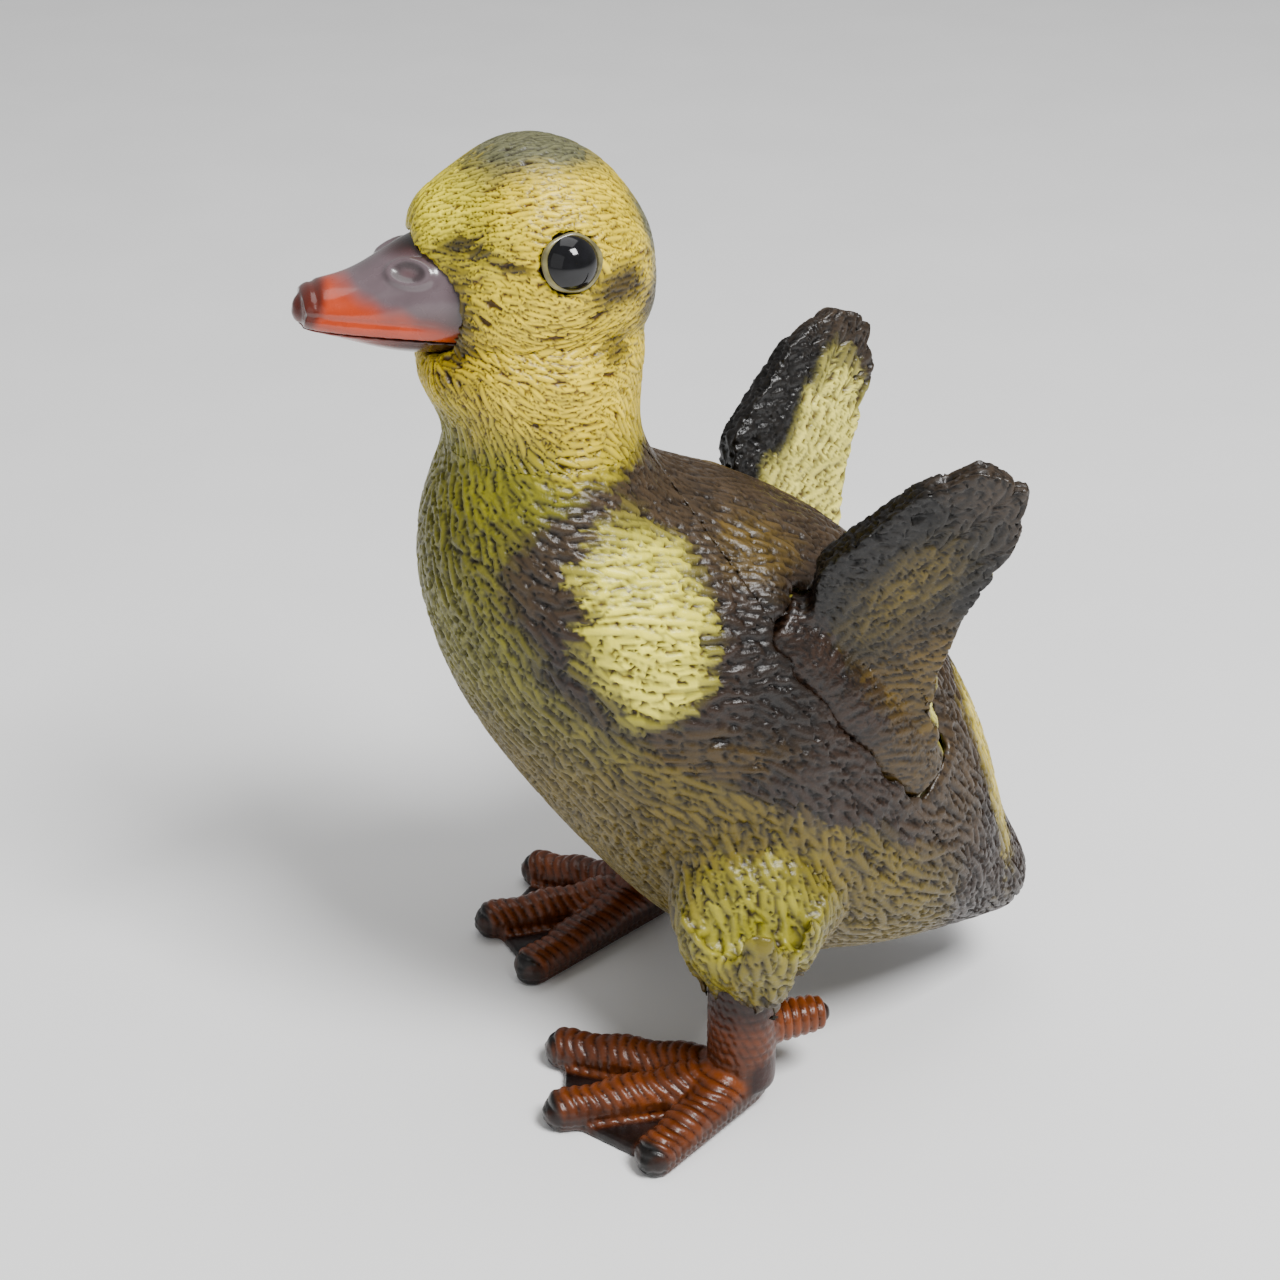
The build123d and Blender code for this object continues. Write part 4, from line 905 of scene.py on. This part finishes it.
def makeFoot(side, name):
    node = f"foot_{name}"
    obj = evenCopy(f"footSkin_{name}", [node], 0.5)
    smoothMesh(obj, 5)
    points, normals = readPoints(obj)
    x, y, z = points[:, 0] * side, points[:, 1], points[:, 2]
    flat = np.stack([x, y], 1)
    ankle = np.array(feet["ankle"])
    best = np.full(len(points), 1e9)
    run = np.zeros(len(points))
    offset = np.zeros(len(points))
    length = np.ones(len(points))
    for tip in feet["toeTips"]:
        tip = np.array(tip)
        whole = np.linalg.norm(tip - ankle)
        line = (tip - ankle) / whole
        along = (flat - ankle) @ line
        aside = (flat - ankle) @ np.array([-line[1], line[0]])
        away = np.abs(aside) + np.maximum(along - whole, 0) + np.maximum(-along, 0)
        pick = away < best
        best = np.where(pick, away, best)
        run, offset = np.where(pick, along, run), np.where(pick, aside, offset)
        length = np.where(pick, whole, length)
    toe = softStep(-best, -6.4, -4.6) * (1 - softStep(z, 10, 15))
    upper = softStep(normals[:, 2], -0.1, 0.5)
    bow = 0.10 * offset ** 2
    plates = np.abs(np.sin((run + bow + 0.4 * wave(points, 9, 50)) * math.pi / feet["scute"])) ** 0.45
    knuckle = (np.cos(run / length * 3 * 2 * math.pi) - 1) * 0.3
    webTop = (1 - toe) * (1 - softStep(z, 4, 7))
    shank = softStep(z, 9, 14)
    turnRound = np.arctan2(y - ankle[1], x - ankle[0])
    beadRows = np.sin(z * math.pi / 2.0 + 0.6 * wave(points, 7, 51))
    beads = np.abs(beadRows * np.sin(turnRound * 11 + z * 0.9)) ** 0.5
    hindRun = (y - 6) * (softStep(y, 6.5, 9) * softStep(z, 4, 8))
    hindPlates = np.abs(np.sin(hindRun * math.pi / 1.9)) ** 0.45
    hind = softStep(y, 7.5, 9.5) * softStep(z, 3, 6)
    sides = (1 - upper) * toe
    scales = np.abs(np.sin(run * math.pi / 1.5) * np.sin(z * math.pi / 1.5)) ** 0.5
    relief = toe * (upper * plates + sides * (0.25 + 0.75 * scales)) + shank * (0.35 + 0.65 * beads)
    relief = relief * (1 - hind) + hind * hindPlates
    relief += webTop * (0.5 + 0.3 * wave(points, 6, 52))
    relief = np.clip(relief, 0, 1)
    ground = softStep(z, 0.3, 1.6)
    push = (relief - 1) * (0.75 * toe + 0.45 * shank + 0.6 * hind + 0.25 * webTop) + knuckle * toe * upper
    points = points + normals * np.minimum(push, 0)[:, None] * ground[:, None]
    colour = np.tile(paints["footOrange"], (len(points), 1))
    colour = mixIn(colour, "footRed", np.clip(0.35 + 0.6 * wave(points, 14, 53), 0, 1) * 0.7)
    colour = mixIn(colour, "footRed", shank * 0.55)
    colour = mixIn(colour, "footDark", softStep(z, 17, 26) * 0.75)
    colour = mixIn(colour, "web", webTop * 0.95)
    colour = mixIn(colour, "footDark", sides * 0.6)
    colour = mixIn(colour, "footOrange", hind * 0.7)
    colour = mixIn(colour, "nail", softStep(run - length, 0.4, 2.2) * toe)
    colour = mixIn(colour, "nail", softStep(y, 18.5, 20.0) * hind)
    writePoints(obj, points)
    paintOn(obj, colour, relief)
    finishPiece(obj, root, footVarnish, [node])


makeFoot(1, "left")
makeFoot(-1, "right")
print("feet carved")


def srgb(*colour):
    return tuple(float(c) for c in linear(colour))


insideLooks = {
    "cast_resin": simpleMaterial("bareResin", srgb(0.83, 0.79, 0.70), 0.6),
    "steel": simpleMaterial("groundSteel", (0.55, 0.55, 0.57), 0.3, metal=1.0),
    "spring_steel": simpleMaterial("springSteel", (0.22, 0.22, 0.24), 0.35, metal=1.0),
    "bronze": simpleMaterial("sinteredBronze", (0.48, 0.30, 0.14), 0.45, metal=1.0, scale=900, bump=0.3),
    "frame_plastic": simpleMaterial("framePlastic", (0.03, 0.03, 0.034), 0.5),
    "gear_plastic": simpleMaterial("gearPlastic", (0.80, 0.77, 0.68), 0.38),
    "motor_steel": simpleMaterial("motorCan", (0.60, 0.60, 0.62), 0.28, metal=1.0),
    "motor_brass": simpleMaterial("gearboxBrass", (0.66, 0.50, 0.22), 0.32, metal=1.0),
    "screw_steel": simpleMaterial("zincScrew", (0.48, 0.48, 0.50), 0.34, metal=1.0),
    "cell": simpleMaterial("cellSleeve", (0.02, 0.05, 0.12), 0.3, coat=0.5),
    "contact_metal": simpleMaterial("nickelContact", (0.66, 0.65, 0.60), 0.25, metal=1.0),
    "black_plastic": simpleMaterial("blackPlastic", (0.012, 0.012, 0.013), 0.45),
    "board": simpleMaterial("boardMask", (0.01, 0.10, 0.03), 0.35, coat=0.3),
    "chip": simpleMaterial("chipCase", (0.02, 0.02, 0.02), 0.5),
    "lead": simpleMaterial("leadSleeve", (0.42, 0.03, 0.02), 0.45),
}
for entry in frame["record"]["subparts"]:
    look = insideLooks.get(entry["material_slot"])
    if look is not None:
        mesh = nodes[entry["node"]].data
        mesh.materials.clear()
        mesh.materials.append(look)
print("inside painted")

studio = {
    "floorSize": 6.0,
    "lens": 70.6,
    "cameraAt": (0.4025, -0.113, 0.2974),
    "right": (0.2487, 0.9686, 0.0),
    "up": (-0.4443, 0.1141, 0.8886),
    "world": 0.36,
    "key": ((0.6, 0.3, 1.05), 21.0, 0.4),
    "fill": ((0.6, -0.8, 0.5), 1.2, 0.9),
    "top": ((-0.2, 0.1, 1.3), 5.0, 0.9),
    "aim": (0.0, 0.0, 0.09),
}
bm = bmesh.new()
bmesh.ops.create_grid(bm, x_segments=1, y_segments=1, size=studio["floorSize"] / 2)
floor = bmToObject("floor", bm)
floorPaint = simpleMaterial("paleFloor", (0.93, 0.93, 0.93), 0.7, vary=0.01, scale=20, bump=0.0)
floor.data.materials.append(floorPaint)

world = bpy.data.worlds.new("studio")
bpy.context.scene.world = world
world.use_nodes = True
world.node_tree.nodes["Background"].inputs["Color"].default_value = (1, 1, 1, 1)
world.node_tree.nodes["Background"].inputs["Strength"].default_value = studio["world"]

for lampName in ("key", "fill", "top"):
    place, watts, size = studio[lampName]
    lamp = bpy.data.lights.new(lampName, "AREA")
    lamp.energy = watts
    lamp.size = size
    lampObject = bpy.data.objects.new(lampName, lamp)
    bpy.context.scene.collection.objects.link(lampObject)
    aim = Vector(studio["aim"]) - Vector(place)
    lampObject.matrix_world = Matrix.Translation(place) @ aim.to_track_quat("-Z", "Y").to_matrix().to_4x4()

camera = bpy.data.cameras.new("camera")
camera.lens = studio["lens"]
camera.sensor_width = 36
camera.clip_start = 0.01
cameraObject = bpy.data.objects.new("camera", camera)
bpy.context.scene.collection.objects.link(cameraObject)
right, up = Vector(studio["right"]), Vector(studio["up"])
turn = Matrix((right, up, right.cross(up))).transposed().to_4x4()
cameraObject.matrix_world = Matrix.Translation(studio["cameraAt"]) @ turn
bpy.context.scene.camera = cameraObject
print("studio lit")
